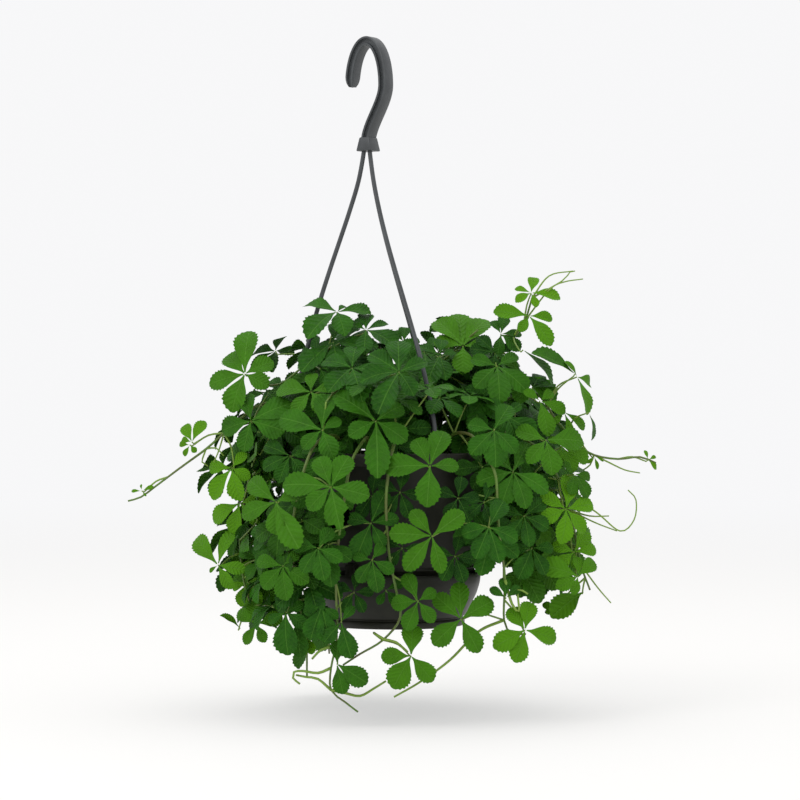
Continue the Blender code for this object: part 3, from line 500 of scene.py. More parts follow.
@dataclass(frozen=True)
class StudioPaper:
    """Matt white translucent paper, lit from behind too; far out it melts into the white of the room."""

    name: str = "studio_paper"
    paper: str = "#B6B5B2"
    lit: float = 0.45
    near_m: float = 0.45
    far_m: float = 5.0

    def build(self) -> bpy.types.Material:
        """Mixes the finish.

        Returns:
            The material.
        """
        material, tree, shader = new_material(self.name)
        shader.inputs["Base Color"].default_value = linear(self.paper)
        shader.inputs["Roughness"].default_value = 0.95
        shader.inputs["Specular IOR Level"].default_value = 0.1
        shader.inputs["Emission Color"].default_value = linear(Studio.room)
        shader.inputs["Emission Strength"].default_value = self.lit
        place = add_node(tree, "ShaderNodeTexCoord").outputs["Object"]
        reach = add_node(tree, "ShaderNodeVectorMath", {0: place}, operation="LENGTH")
        share = add_node(
            tree,
            "ShaderNodeMapRange",
            {0: reach.outputs["Value"], 1: self.near_m, 2: self.far_m},
            interpolation_type="SMOOTHSTEP",
        )
        glow = add_node(tree, "ShaderNodeEmission", {0: linear(Studio.room), 1: Studio.room_strength})
        mix = add_node(
            tree, "ShaderNodeMixShader", {0: share.outputs[0], 1: shader.outputs[0], 2: glow.outputs[0]}
        )
        tree.links.new(mix.outputs[0], tree.nodes["Material Output"].inputs[0])
        return material


# The studio


@dataclass
class Studio:
    """Camera, lights, floor and the white room."""

    room: ClassVar[str] = "#FCFCFD"
    room_strength: ClassVar[float] = 0.96
    floor_z: float = -0.547
    floor_r: float = 30.0
    sensor_mm: float = 36.0
    aim: tuple[float, float, float] = (POT_X, 0, -0.33)

    def build_camera(self) -> bpy.types.Object:
        """A level camera at the eye point, as long as the picture's scale asks.

        Returns:
            The camera.
        """
        data = bpy.data.cameras.new("camera")
        data.sensor_width = self.sensor_mm
        data.lens = self.sensor_mm * -EYE.y / (PICTURE_PX * MM_PER_PX)
        data.clip_end = 100
        camera = bpy.data.objects.new("camera", data)
        camera.location = EYE
        camera.rotation_euler = (pi / 2, 0, 0)
        bpy.context.scene.collection.objects.link(camera)
        bpy.context.scene.camera = camera
        return camera

    def build_light(self, name: str, place: Vector, size: float, watts: float) -> bpy.types.Object:
        """A square softbox that looks at the middle of the plant.

        Args:
            name: The light's name.
            place: Where it stands.
            size: Its side in metres.
            watts: Its power.

        Returns:
            The light.
        """
        data = bpy.data.lights.new(name, "AREA")
        data.shape = "SQUARE"
        data.size = size
        data.energy = watts
        light = bpy.data.objects.new(name, data)
        light.location = place
        light.rotation_euler = (Vector(self.aim) - place).to_track_quat("-Z", "Y").to_euler()
        bpy.context.scene.collection.objects.link(light)
        return light

    def build_floor(self) -> bpy.types.Object:
        """The paper floor under the plant.

        Returns:
            The floor, which is no part of the plant.
        """
        deselect()
        bpy.ops.mesh.primitive_circle_add(
            vertices=64, radius=self.floor_r, fill_type="NGON", location=(0, 0, self.floor_z)
        )
        floor = bpy.context.active_object
        floor.name = "floor"
        floor.data.materials.append(StudioPaper().build())
        return floor

    def build(self) -> None:
        """Everything round the plant."""
        self.build_camera()
        self.build_floor()
        self.build_light("key_left", Vector((-1.3, -1.5, 1.2)), 1.1, 13)
        self.build_light("fill_right", Vector((1.7, -1.2, 0.5)), 1.3, 2)
        self.build_light("top", Vector((0.1, 0.3, 1.7)), 1.8, 10)
        world = bpy.data.worlds.new("white room")
        world.use_nodes = True
        background = world.node_tree.nodes["Background"]
        background.inputs[0].default_value = linear(self.room)
        background.inputs[1].default_value = self.room_strength
        bpy.context.scene.world = world
        bpy.context.scene.view_settings.view_transform = "Standard"


# Mesh work


def deselect() -> None:
    """Clears the selection, which the frame leaves on its nodes."""
    bpy.ops.object.select_all(action="DESELECT")


def pick(obj: bpy.types.Object) -> None:
    """Selects one object alone, and makes it the active one."""
    deselect()
    bpy.context.view_layer.objects.active = obj
    obj.select_set(True)


def edit_all(obj: bpy.types.Object) -> None:
    """Enters edit mode on one object with all of it selected.

    Args:
        obj: The object.
    """
    pick(obj)
    bpy.ops.object.mode_set(mode="EDIT")
    bpy.ops.mesh.select_all(action="SELECT")


def leave_edit() -> None:
    """Goes back to object mode."""
    bpy.ops.object.mode_set(mode="OBJECT")


def settle(obj: bpy.types.Object) -> bpy.types.Object:
    """Applies modifiers and place, so that the object sits at the origin and its mesh holds its place.

    Args:
        obj: The object, which is then selected alone.

    Returns:
        The same object.
    """
    pick(obj)
    for modifier in list(obj.modifiers):
        bpy.ops.object.modifier_apply(modifier=modifier.name)
    bpy.ops.object.transform_apply(location=True, rotation=True, scale=True)
    return obj


def pin(radius: float, depth: float, place: Vector) -> bpy.types.Object:
    """An upright pin to cut a strand's hole with.

    Args:
        radius: Its radius.
        depth: Its length.
        place: Its middle.

    Returns:
        The pin.
    """
    deselect()
    bpy.ops.mesh.primitive_cylinder_add(vertices=20, radius=radius, depth=depth, location=place)
    return settle(bpy.context.active_object)


def block(radius: float, azimuth_deg: float, z: float, size: Sequence[float]) -> bpy.types.Object:
    """A box that faces the pot's axis, to cut or to join.

    Args:
        radius: Its middle's distance from the pot's axis.
        azimuth_deg: Its azimuth round that axis.
        z: Its middle's height.
        size: Its size outwards, sideways and upwards.

    Returns:
        The box.
    """
    deselect()
    middle = AXIS + polar(radius, azimuth_deg, z)
    turn = (0, 0, radians(azimuth_deg))
    bpy.ops.mesh.primitive_cube_add(size=1, location=middle, rotation=turn, scale=size)
    return settle(bpy.context.active_object)


def combine(obj: bpy.types.Object, others: Sequence[bpy.types.Object], operation: str) -> None:
    """Joins closed pieces to another or cuts them out of it, and deletes them.

    Args:
        obj: The piece that stays.
        others: The pieces to join or cut with.
        operation: UNION or DIFFERENCE.
    """
    for other in others:
        modifier = obj.modifiers.new("boolean", "BOOLEAN")
        modifier.operation, modifier.object, modifier.solver = operation, other, "EXACT"
        settle(obj)
        bpy.data.objects.remove(other)


def soften(obj: bpy.types.Object, width: float, segments: int) -> None:
    """Takes a bevel off a piece's edges.

    Args:
        obj: The piece.
        width: The bevel's width.
        segments: Its facets.
    """
    bevel = obj.modifiers.new("soft edges", "BEVEL")
    bevel.width, bevel.segments = width, segments
    settle(obj)


def dress(obj: bpy.types.Object, material: bpy.types.Material) -> None:
    """Gives a piece one finish all over."""
    obj.data.materials.clear()
    obj.data.materials.append(material)


def smooth(obj: bpy.types.Object, sharp_deg: float = 38) -> None:
    """Smooths a piece but for its turns past an angle."""
    pick(obj)
    bpy.ops.object.shade_smooth_by_angle(angle=radians(sharp_deg))


def turned(name: str, profile: Sequence[tuple[float, float]], steps: int) -> bpy.types.Object:
    """A turned piece about the pot's axis.

    Args:
        name: The piece's name.
        profile: (radius, z) from the axis round the wall and back to the axis.
        steps: Facets round the piece.

    Returns:
        The closed piece, smooth but for its sharp turns.
    """
    mesh = bpy.data.meshes.new(name)
    mesh.from_pydata([(r, 0, z) for r, z in profile], [(k, k + 1) for k in range(len(profile) - 1)], [])
    obj = bpy.data.objects.new(name, mesh)
    bpy.context.scene.collection.objects.link(obj)
    edit_all(obj)
    bpy.ops.mesh.spin(steps=steps, angle=2 * pi, center=(0, 0, 0), axis=(0, 0, 1))
    bpy.ops.mesh.select_all(action="SELECT")
    bpy.ops.mesh.remove_doubles(threshold=0.005 * MM)
    bpy.ops.mesh.normals_make_consistent(inside=False)
    leave_edit()
    obj.location = AXIS
    settle(obj)
    smooth(obj)
    return obj


def rounded(
    profile: Sequence[tuple[float, float]], radius: float, steps: int = 3
) -> list[tuple[float, float]]:
    """A (radius, z) profile with its corners rounded off.

    Args:
        profile: The sharp profile.
        radius: How far from a corner the rounding starts, at most.
        steps: Points on each rounding, less one.

    Returns:
        The finer profile, with the same ends.
    """
    points = [Vector(p) for p in profile]
    result = [profile[0]]
    for a, b, c in zip(points, points[1:], points[2:]):
        reach_in = min(radius, (a - b).length * 0.45)
        reach_out = min(radius, (c - b).length * 0.45)
        start = b + (a - b).normalized() * reach_in
        end = b + (c - b).normalized() * reach_out
        for k in range(steps + 1):
            t = k / steps
            point = start * (1 - t) ** 2 + b * 2 * t * (1 - t) + end * t**2
            result.append((point.x, point.y))
    result.append(profile[-1])
    return result


def heading(route: Sequence[Vector], k: int) -> Vector:
    """The way that a route runs at one of its points."""
    return (route[min(k + 1, len(route) - 1)] - route[max(k - 1, 0)]).normalized()


class Skin(IntEnum):
    """The finishes of a leafy piece, by the material slot of its mesh."""

    LEAF = 0
    STEM = 1


@dataclass
class MeshDraft:
    """Points, faces and their looks, gathered for one piece."""

    verts: list[Vector] = field(default_factory=list)
    faces: list[tuple[int, ...]] = field(default_factory=list)
    slots: list[int] = field(default_factory=list)
    uvs: list[tuple[float, float]] = field(default_factory=list)
    tints: list[tuple[float, float, float]] = field(default_factory=list)
    rims: list[bool] = field(default_factory=list)

    def point(
        self,
        place: Vector,
        uv: tuple[float, float] = (0, 0),
        tint: tuple[float, float, float] = (0, 0, 0),
        rim: bool = False,
    ) -> int:
        """Adds a point.

        Args:
            place: Where it is.
            uv: Its place on the leaflet.
            tint: Youth, shade and underside; the shade is painted shade with random tone, and the youth is
                partly painted light from behind.
            rim: Whether it is on a sharp edge.

        Returns:
            Its number.
        """
        self.verts.append(place)
        self.uvs.append(uv)
        self.tints.append(tint)
        self.rims.append(rim)
        return len(self.verts) - 1

    def face(self, corners: Sequence[int], slot: int = 0) -> None:
        """Adds a face in a material slot."""
        self.faces.append(tuple(corners))
        self.slots.append(slot)

    def bridge(self, rings: Sequence[Sequence[int]], slot: int = 0, other_way: bool = False) -> None:
        """Joins rings of points to a skin with closed ends.

        Args:
            rings: The rings, each with as many points.
            slot: The material slot.
            other_way: Whether the points run clockwise round the way that the rings follow.
        """
        for low, high in zip(rings, rings[1:]):
            for j in range(len(low)):
                n = (j + 1) % len(low)
                if other_way:
                    self.face((low[j], high[j], high[n], low[n]), slot)
                else:
                    self.face((low[j], low[n], high[n], high[j]), slot)
        first, last = rings[0], rings[-1]
        self.face(first if other_way else first[::-1], slot)
        self.face(last[::-1] if other_way else last, slot)

    def stem(self, route: Sequence[Vector], radii: Sequence[float], sides: int, youth: float) -> None:
        """Adds a round green stem, stalk or tendril.

        Args:
            route: The points along its middle.
            radii: A radius at each of them.
            sides: Facets round it.
            youth: How young it is, 0 to 1.
        """
        side = None
        rings = []
        for k, point in enumerate(route):
            ahead = heading(route, k)
            side = side or ahead.orthogonal().normalized()
            side = (side - ahead * side.dot(ahead)).normalized()
            other = ahead.cross(side)
            ring = []
            for a in circle(sides):
                place = point + (side * cos(a) + other * sin(a)) * radii[k]
                ring.append(self.point(place, (0.5, 0.5), (youth, 0.5, 0.0)))
            rings.append(ring)
        self.bridge(rings, Skin.STEM)

    def build(self, name: str, materials: Sequence[bpy.types.Material]) -> bpy.types.Object:
        """The piece as an object.

        Args:
            name: The piece's name.
            materials: One for each slot.

        Returns:
            The object, smooth-shaded, with its UV map and tint.
        """
        low, high = CAD_BOX
        mesh = bpy.data.meshes.new(name)
        kept = [tuple(max(low[i], min(high[i], v[i])) for i in range(3)) for v in self.verts]
        mesh.from_pydata(kept, [], self.faces)
        for material in materials:
            mesh.materials.append(material)
        mesh.polygons.foreach_set("material_index", self.slots)
        layer = mesh.uv_layers.new(name="leaf")
        flat = []
        for loop in mesh.loops:
            flat += self.uvs[loop.vertex_index]
        layer.data.foreach_set("uv", flat)
        tint = mesh.attributes.new("tint", "FLOAT_COLOR", "POINT")
        tint.data.foreach_set("color", [c for t in self.tints for c in (*t, 1.0)])
        mesh.shade_smooth()
        sharp = mesh.attributes.get("sharp_edge") or mesh.attributes.new("sharp_edge", "BOOLEAN", "EDGE")
        on_rim = [all(self.rims[k] for k in edge.vertices) for edge in mesh.edges]
        sharp.data.foreach_set("value", on_rim)
        mesh.update()
        obj = bpy.data.objects.new(name, mesh)
        bpy.context.scene.collection.objects.link(obj)
        return obj


def place_piece(obj: bpy.types.Object, slot: str, *nodes: str) -> None:
    """Puts a finished piece on the body, in the place of its nodes, and reports it.

    Args:
        obj: The piece.
        slot: Its material slot in the record; not used.
        *nodes: The nodes that it replaces.
    """
    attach(obj, "root")
    if nodes:
        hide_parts(*nodes)
    log.info("%s: %d faces", obj.name, len(obj.data.polygons))


# Hook and strands


@dataclass
class Hook:
    """The moulded hook: a grooved bar bent over the rail, and a socket that holds the strands."""

    turn_deg: float = 35.0
    thick: float = 7.5 * MM
    wide: float = 11.4 * MM
    groove: float = 2.4 * MM
    rib: float = 1.9 * MM
    arch_u: float = 16.8 * MM
    arch_z: float = 36.7 * MM
    sweep_end_z: float = -80 * MM
    socket_top_z: float = -75 * MM
    socket_end_z: float = -86.5 * MM
    foot_u: float = -0.8 * MM
    edge: float = 0.55 * MM
    socket_wide: float = 15 * MM
    socket_deep: float = 14.5 * MM
    neck_wide: float = 10 * MM
    neck_deep: float = 12 * MM
    strand_play: float = 0.3 * MM

    def across(self) -> Vector:
        """The way from the hook's tip to its body."""
        a = radians(self.turn_deg)
        return Vector((cos(a), -sin(a), 0))

    def flat(self) -> Vector:
        """The way square to the hook's plane."""
        a = radians(self.turn_deg)
        return Vector((sin(a), cos(a), 0))

    def route(self) -> list[Vector]:
        """The bar's middle line, from the tip over the crown to the socket.

        Returns:
            Its points.
        """
        centre_z = self.thick / 2 - self.arch_z
        points = []
        arch_steps, sweep_steps = 44, 24
        for k in range(arch_steps + 1):
            a = pi * (1 - k / arch_steps)
            points.append((self.arch_u * cos(a), centre_z + self.arch_z * sin(a)))
        for k in range(1, sweep_steps + 1):
            t = k / sweep_steps
            ease = smoothstep(t)
            u = self.arch_u * (1 - ease) + self.foot_u * ease
            points.append((u, centre_z + (self.sweep_end_z - centre_z) * t))
        return [self.across() * u + Vector((0, 0, z)) for u, z in points]

    def section(self) -> list[tuple[float, float]]:
        """The bar's outline: an H with its edges taken off.

        Returns:
            Its points, as (square to the hook's plane, in it).
        """
        w, t = self.wide / 2, self.thick / 2
        g, r = w - self.groove, t - self.rib
        e = self.edge
        c = 0.3 * MM
        rib = [(w - e, t), (w - e * 0.3, t - e * 0.3), (w, t - e), (w, r + e * 0.4), (w - e * 0.4, r)]
        quarter = [*rib, (g + c, r), (g, r - c)]
        upper = [(-x, y) for x, y in reversed(quarter)] + quarter
        return upper + [(-x, -y) for x, y in upper]

    def build_bar(self) -> bpy.types.Object:
        """The bent bar, rounded off at its tip.

        Returns:
            The bar.
        """
        draft = MeshDraft()
        section = self.section()
        route = self.route()
        rings = []
        tip_steps = 4
        for k, point in enumerate(route):
            inward = heading(route, k).cross(self.flat())
            t = min(1.0, (k + 0.5) / tip_steps)
            shrink = (1 - (1 - t) ** 2) ** 0.5
            rings.append([draft.point(point + (self.flat() * a + inward * b) * shrink) for a, b in section])
        draft.bridge(rings, other_way=True)
        return draft.build("hook_bar", [])

    def build_socket(self) -> bpy.types.Object:
        """The flared foot, with softened edges.

        Returns:
            The foot.
        """
        foot = self.across() * self.foot_u
        deselect()
        middle_z = (self.socket_top_z + self.socket_end_z) / 2
        bpy.ops.mesh.primitive_cube_add(size=1, location=(foot.x, foot.y, middle_z))
        socket = bpy.context.active_object
        socket.name = "hook_socket"
        socket.scale = (self.socket_wide, self.socket_deep, self.socket_top_z - self.socket_end_z)
        settle(socket)
        for vertex in socket.data.vertices:
            if vertex.co.z > self.socket_end_z + 1 * MM:
                vertex.co.x = foot.x + (vertex.co.x - foot.x) * self.neck_wide / self.socket_wide
                vertex.co.y = foot.y + (vertex.co.y - foot.y) * self.neck_deep / self.socket_deep
        turn = Matrix.Rotation(-radians(self.turn_deg), 4, "Z")
        socket.data.transform(Matrix.Translation(foot) @ turn @ Matrix.Translation(-foot))
        soften(socket, 1.1 * MM, 3)
        return socket

    def build(self, plastic: bpy.types.Material) -> None:
        """The hook in one piece, with a blind hole for each strand.

        Args:
            plastic: The hanger's finish.
        """
        bar = self.build_bar()
        combine(bar, [self.build_socket()], "UNION")
        heads = [Strand.head(azimuth, self.socket_end_z) for azimuth in STRAND_AZIMUTHS.values()]
        combine(bar, [pin(STRAND_R + self.strand_play, 17 * MM, head) for head in heads], "DIFFERENCE")
        bar.name = "moulded_hook"
        dress(bar, plastic)
        smooth(bar, 32)
        place_piece(bar, "hanger_plastic", "hook")


@dataclass
class Strand:
    """One extruded strand, ribbed along its length, with its barbed end under the rim.

    The barb's rows are how far under the strand's foot they are, and their radius, in mm.
    """

    name: str
    bow: float
    ease: float
    sides: int = 24
    ribs: int = 4
    rib_depth: float = 0.16 * MM
    inside: float = 7.5 * MM
    over_rim: float = 6 * MM
    barb: tuple[tuple[float, float], ...] = (
        (5.2, 1.4), (8.6, 1.4), (9.0, 2.1), (10.4, 2.2), (11.8, 1.8), (13.0, 1.2)
    )

    @staticmethod
    def head(azimuth_deg: float, z: float) -> Vector:
        """Where a strand stands in the hook's socket."""
        return Vector((Hook.foot_u, 0, z)) + polar(3.4 * MM, azimuth_deg)

    def route(self) -> list[Vector]:
        """The strand's middle line, from inside the socket to just over the rim.

        Returns:
            Its points.
        """
        azimuth = STRAND_AZIMUTHS[self.name]
        top = self.head(azimuth, Hook.socket_end_z)
        end = AXIS + polar(STRAND_RIM_R, azimuth, RIM_Z + self.over_rim)
        coarse = [top + Vector((0, 0, self.inside))]
        steps = 10
        for k in range(steps + 1):
            v = k / steps
            f = v * (1 - self.ease) + smoothstep(v**self.bow) * self.ease
            z = top.z + (end.z - top.z) * v
            flat = top.lerp(end, f)
            coarse.append(Vector((flat.x, flat.y, z)))
        return coarse

    def build(self, plastic: bpy.types.Material) -> None:
        """The strand as a ribbed tube on a finer route.

        Args:
            plastic: The hanger's finish.
        """
        route = smooth_route(self.route(), 4 * MM)
        radii = [STRAND_R] * len(route)
        foot = route[-1].copy()
        for drop, radius in self.barb:
            route.append(foot - Vector((0, 0, drop * MM)))
            radii.append(radius * MM)
        draft = MeshDraft()
        side = Vector((1, 0, 0))
        rings = []
        for k, point in enumerate(route):
            ahead = heading(route, k)
            side = (side - ahead * side.dot(ahead)).normalized()
            other = ahead.cross(side)
            ring = []
            for a in circle(self.sides):
                radius = radii[k] - self.rib_depth * max(0.0, cos(self.ribs * a)) ** 3
                ring.append(draft.point(point + (side * cos(a) + other * sin(a)) * radius))
            rings.append(ring)
        draft.bridge(rings)
        piece = draft.build(f"{self.name}_cord", [plastic])
        place_piece(piece, "hanger_plastic", self.name)


# Pot, saucer and soil


@dataclass
class Pot:
    """The tapered pot with its rolled rim, skirt, bead and drain slots."""

    steps: int = 128
    hole_r: float = 1.75 * MM
    drains: int = 6
    drain_at: float = 38 * MM
    drain_size: tuple[float, float, float] = (14 * MM, 3 * MM, 8 * MM)

    def profile(self) -> list[tuple[float, float]]:
        """The wall, from the axis inside, over the rim and down to the axis outside.

        Returns:
            Its points, as (radius, z).
        """
        z, base, wall = RIM_Z, RIM_Z - POT_H, 1.6 * MM
        inside = [
            (49.0 * MM, base + wall),
            (57.2 * MM, z - 120 * MM),
            (64.8 * MM, z - 92 * MM),
            (70.8 * MM, z - 62 * MM),
            (75.6 * MM, z),
        ]
        outside = [
            (RIM_R, z),
            (RIM_R, z - 10 * MM),
            (84.0 * MM, z - 10 * MM),
            (84.0 * MM, z - 2.2 * MM),
            (77.2 * MM, z - 2.2 * MM),
            (72.5 * MM, z - 62 * MM),
            (66.6 * MM, z - 92 * MM),
            (68.4 * MM, z - 93.5 * MM),
            (66.2 * MM, z - 95 * MM),
            (59.0 * MM, z - 121 * MM),
            (50.0 * MM, base),
        ]
        return [(0, base + wall), *rounded(inside + outside, 1.2 * MM), (0, base)]

    def build(self, plastic: bpy.types.Material) -> None:
        """The pot with its strand holes and drain slots cut.

        Args:
            plastic: The pot's finish.
        """
        pot = turned("tapered_pot", self.profile(), self.steps)
        cutters = []
        for azimuth in STRAND_AZIMUTHS.values():
            cutters.append(pin(self.hole_r, 8 * MM, AXIS + polar(STRAND_RIM_R, azimuth, RIM_Z)))
        for k in range(self.drains):
            azimuth = 360 / self.drains * k + 30
            cutters.append(block(self.drain_at, azimuth, RIM_Z - POT_H, self.drain_size))
        combine(pot, cutters, "DIFFERENCE")
        smooth(pot)
        dress(pot, plastic)
        place_piece(pot, "pot_plastic", "pot")


@dataclass
class Saucer:
    """The clip-on saucer, a bowl on a foot ring, with three clips over the pot's bead.

    A clip's two blocks are distance from the axis, drop under the pot's rim, and size, in mm.
    """

    steps: int = 128
    rim_z: float = -430.5 * MM
    floor_h: float = 5.5 * MM
    clip: tuple[tuple, ...] = ((69.0, 90.2, (2.4, 9, 3)), (69.6, 95, (1.3, 9, 10)))

    def profile(self) -> list[tuple[float, float]]:
        """The wall, from the axis inside, over the lip and down to the axis outside.

        Returns:
            Its points, as (radius, z).
        """
        rim = self.rim_z
        wall = [
            (53.5 * MM, BASE_Z + self.floor_h),
            (61.0 * MM, rim - 27 * MM),
            (66.0 * MM, rim - 18 * MM),
            (68.8 * MM, rim - 9 * MM),
            (69.2 * MM, rim),
            (70.2 * MM, rim),
            (71.2 * MM, rim - 2 * MM),
            (70.4 * MM, rim - 9 * MM),
            (67.6 * MM, rim - 18 * MM),
            (63.0 * MM, rim - 27 * MM),
            (58.5 * MM, rim - 35.5 * MM),
            (56.0 * MM, rim - 37 * MM),
            (58.0 * MM, rim - 38.5 * MM),
            (58.0 * MM, BASE_Z + 1 * MM),
            (57.0 * MM, BASE_Z),
        ]
        return [(0, BASE_Z + self.floor_h), *rounded(wall, 2.5 * MM), (0, BASE_Z)]

    def build(self, plastic: bpy.types.Material) -> None:
        """The saucer with its three clips joined on.

        Args:
            plastic: The pot's finish.
        """
        saucer = turned("clip_saucer", self.profile(), self.steps)
        parts = []
        for azimuth in (0, 120, 240):
            for radius, drop, size in self.clip:
                parts.append(block(radius * MM, azimuth, RIM_Z - drop * MM, [side * MM for side in size]))
                soften(parts[-1], 0.35 * MM, 2)
        combine(saucer, parts, "UNION")
        smooth(saucer)
        dress(saucer, plastic)
        place_piece(saucer, "pot_plastic", "saucer")


@dataclass
class Soil:
    """The peat in the pot, with an uneven crumbly top."""

    seed: int = 3
    top_r: float = 73.4 * MM
    rough: float = 1.6 * MM

    def build(self, peat: bpy.types.Material) -> None:
        """The soil's body from its profile, and the crumbs of its top from noise.

        Args:
            peat: The soil's finish.
        """
        base = RIM_Z - POT_H + 1.9 * MM
        profile = [(0, SOIL_Z - 1 * MM)]
        profile += [(r * MM, SOIL_Z - 1 * MM) for r in range(4, 70, 4)]
        profile += [
            (self.top_r, SOIL_Z - 3 * MM),
            (70.4 * MM, RIM_Z - 62 * MM),
            (64.2 * MM, RIM_Z - 92 * MM),
            (56.5 * MM, RIM_Z - 120 * MM),
            (48.2 * MM, base),
            (0, base),
        ]
        soil = turned("peat_ball", list(reversed(profile)), 96)
        rng = random.Random(self.seed)
        for vertex in soil.data.vertices:
            if vertex.co.z > SOIL_Z - 2 * MM:
                vertex.co.z += rng.uniform(-1.0, 0.6) * self.rough
        dress(soil, peat)
        soil.data.update()
        place_piece(soil, "peat", "soil")


# The plant

# How the stems run: how far each starts under the soil, its radius, the step of its route, how far its
# middle stays from those of other stems and of the strands, and how often it is pushed off them
STEM_START = 7 * MM
STEM_R = 1.5 * MM
STEM_STEP = 22 * MM
STEM_ROOM = 6 * MM
STRAND_ROOM = 9 * MM
ROOM_PASSES = 40

# How the leaves stand: the stalk's radius in the solids, the angles and lengths of five leaflets, the
# shifts in depth (mm) that find a leaf room, and for the leaves at the back the stem's points from one to
# the next and the tries for each
PETIOLE_R = 0.8 * MM
LEAFLET_ANGLES = (-128, -66, 0, 66, 128)
LEAFLET_SHARES = (0.74, 0.96, 1.0, 0.96, 0.74)
SHIFTS = (0, -5, 5, -10, 10, -16, 16, -24, 24, -34, 34)
LEAF_EVERY = 1.9
TRIES = 5

# The vines, leaves and tendrils of the solids, place by place

# Each vine: its name, its root on the soil (mm across and behind the pot's axis), and its way as
# (x px, y px, depth mm)
SEEN_VINES = [
    ("vine_01", (-53, -14), [(322, 430, -18), (296, 404, -26), (262, 404, -34), (224, 433, -40),
                             (206, 449, -42), (180, 468, -42), (156, 486, -42), (141, 497, -42),
                             (128, 501, -42)]),
    ("vine_02", (-46, 24), [(326, 435, 30), (292, 420, 36), (262, 440, 30), (247, 490, 20),
                            (240, 540, 8), (246, 590, 2), (257, 622, 0)]),
    ("vine_03", (-41, -33), [(336, 436, -66), (314, 446, -96), (299, 490, -104), (292, 540, -98),
                             (298, 600, -92), (306, 640, -88), (307, 678, -88)]),
    ("vine_04", (-30, 2), [(348, 430, 0), (338, 380, -4), (328, 350, -12), (304, 366, -20), (280, 384, -28),
                           (256, 384, -34)]),
    ("vine_05", (-12, -20), [(374, 430, -36), (364, 395, -54), (344, 384, -72), (326, 402, -90)]),
    ("vine_06", (6, 20), [(402, 425, 24), (422, 385, 22), (444, 360, 14), (463, 343, 6), (478, 330, 0)]),
    ("vine_07", (28, 10), [(434, 430, 10), (470, 388, 8), (503, 352, 0), (524, 322, -8), (532, 298, -12)]),
    ("vine_08", (46, -4), [(462, 436, -6), (500, 402, -14), (536, 394, -22), (556, 420, -28),
                           (578, 444, -30), (594, 455, -30), (618, 459, -30), (640, 457, -30),
                           (656, 463, -30)]),
    ("vine_09", (50, -24), [(466, 440, -34), (500, 432, -48), (540, 450, -54), (563, 490, -54),
                            (574, 530, -50), (581, 565, -46), (590, 590, -44)]),
    ("vine_10", (27, -34), [(454, 434, -54), (476, 440, -84), (494, 470, -94), (499, 530, -96),
                            (505, 580, -96), (504, 620, -92), (512, 633, -90), (526, 634, -90)]),
    ("vine_11", (3, -44), [(398, 436, -82), (392, 452, -102), (386, 500, -108), (390, 560, -104),
                           (400, 618, -98), (383, 640, -96), (360, 654, -96), (343, 665, -94)]),
    ("vine_12", (-21, -42), [(366, 438, -84), (352, 460, -104), (342, 515, -112), (336, 570, -108),
                             (337, 620, -104), (336, 645, -102), (331, 668, -102), (331, 690, -102),
                             (345, 702, -102), (358, 712, -102)]),
]

# The vines at the sides and back: azimuth in degrees, then in mm the height over the rim, the reach, and
# how far it hangs under the rim
BACK_VINES = [
    ("vine_13", 8, 34, 118, 132),
    ("vine_14", 36, 62, 128, 70),
    ("vine_15", 46, 98, 92, -50),
    ("vine_16", 80, 40, 122, 150),
    ("vine_17", 98, 88, 112, 10),
    ("vine_18", 118, 46, 126, 176),
    ("vine_19", 140, 82, 118, 30),
    ("vine_20", 158, 38, 124, 112),
]
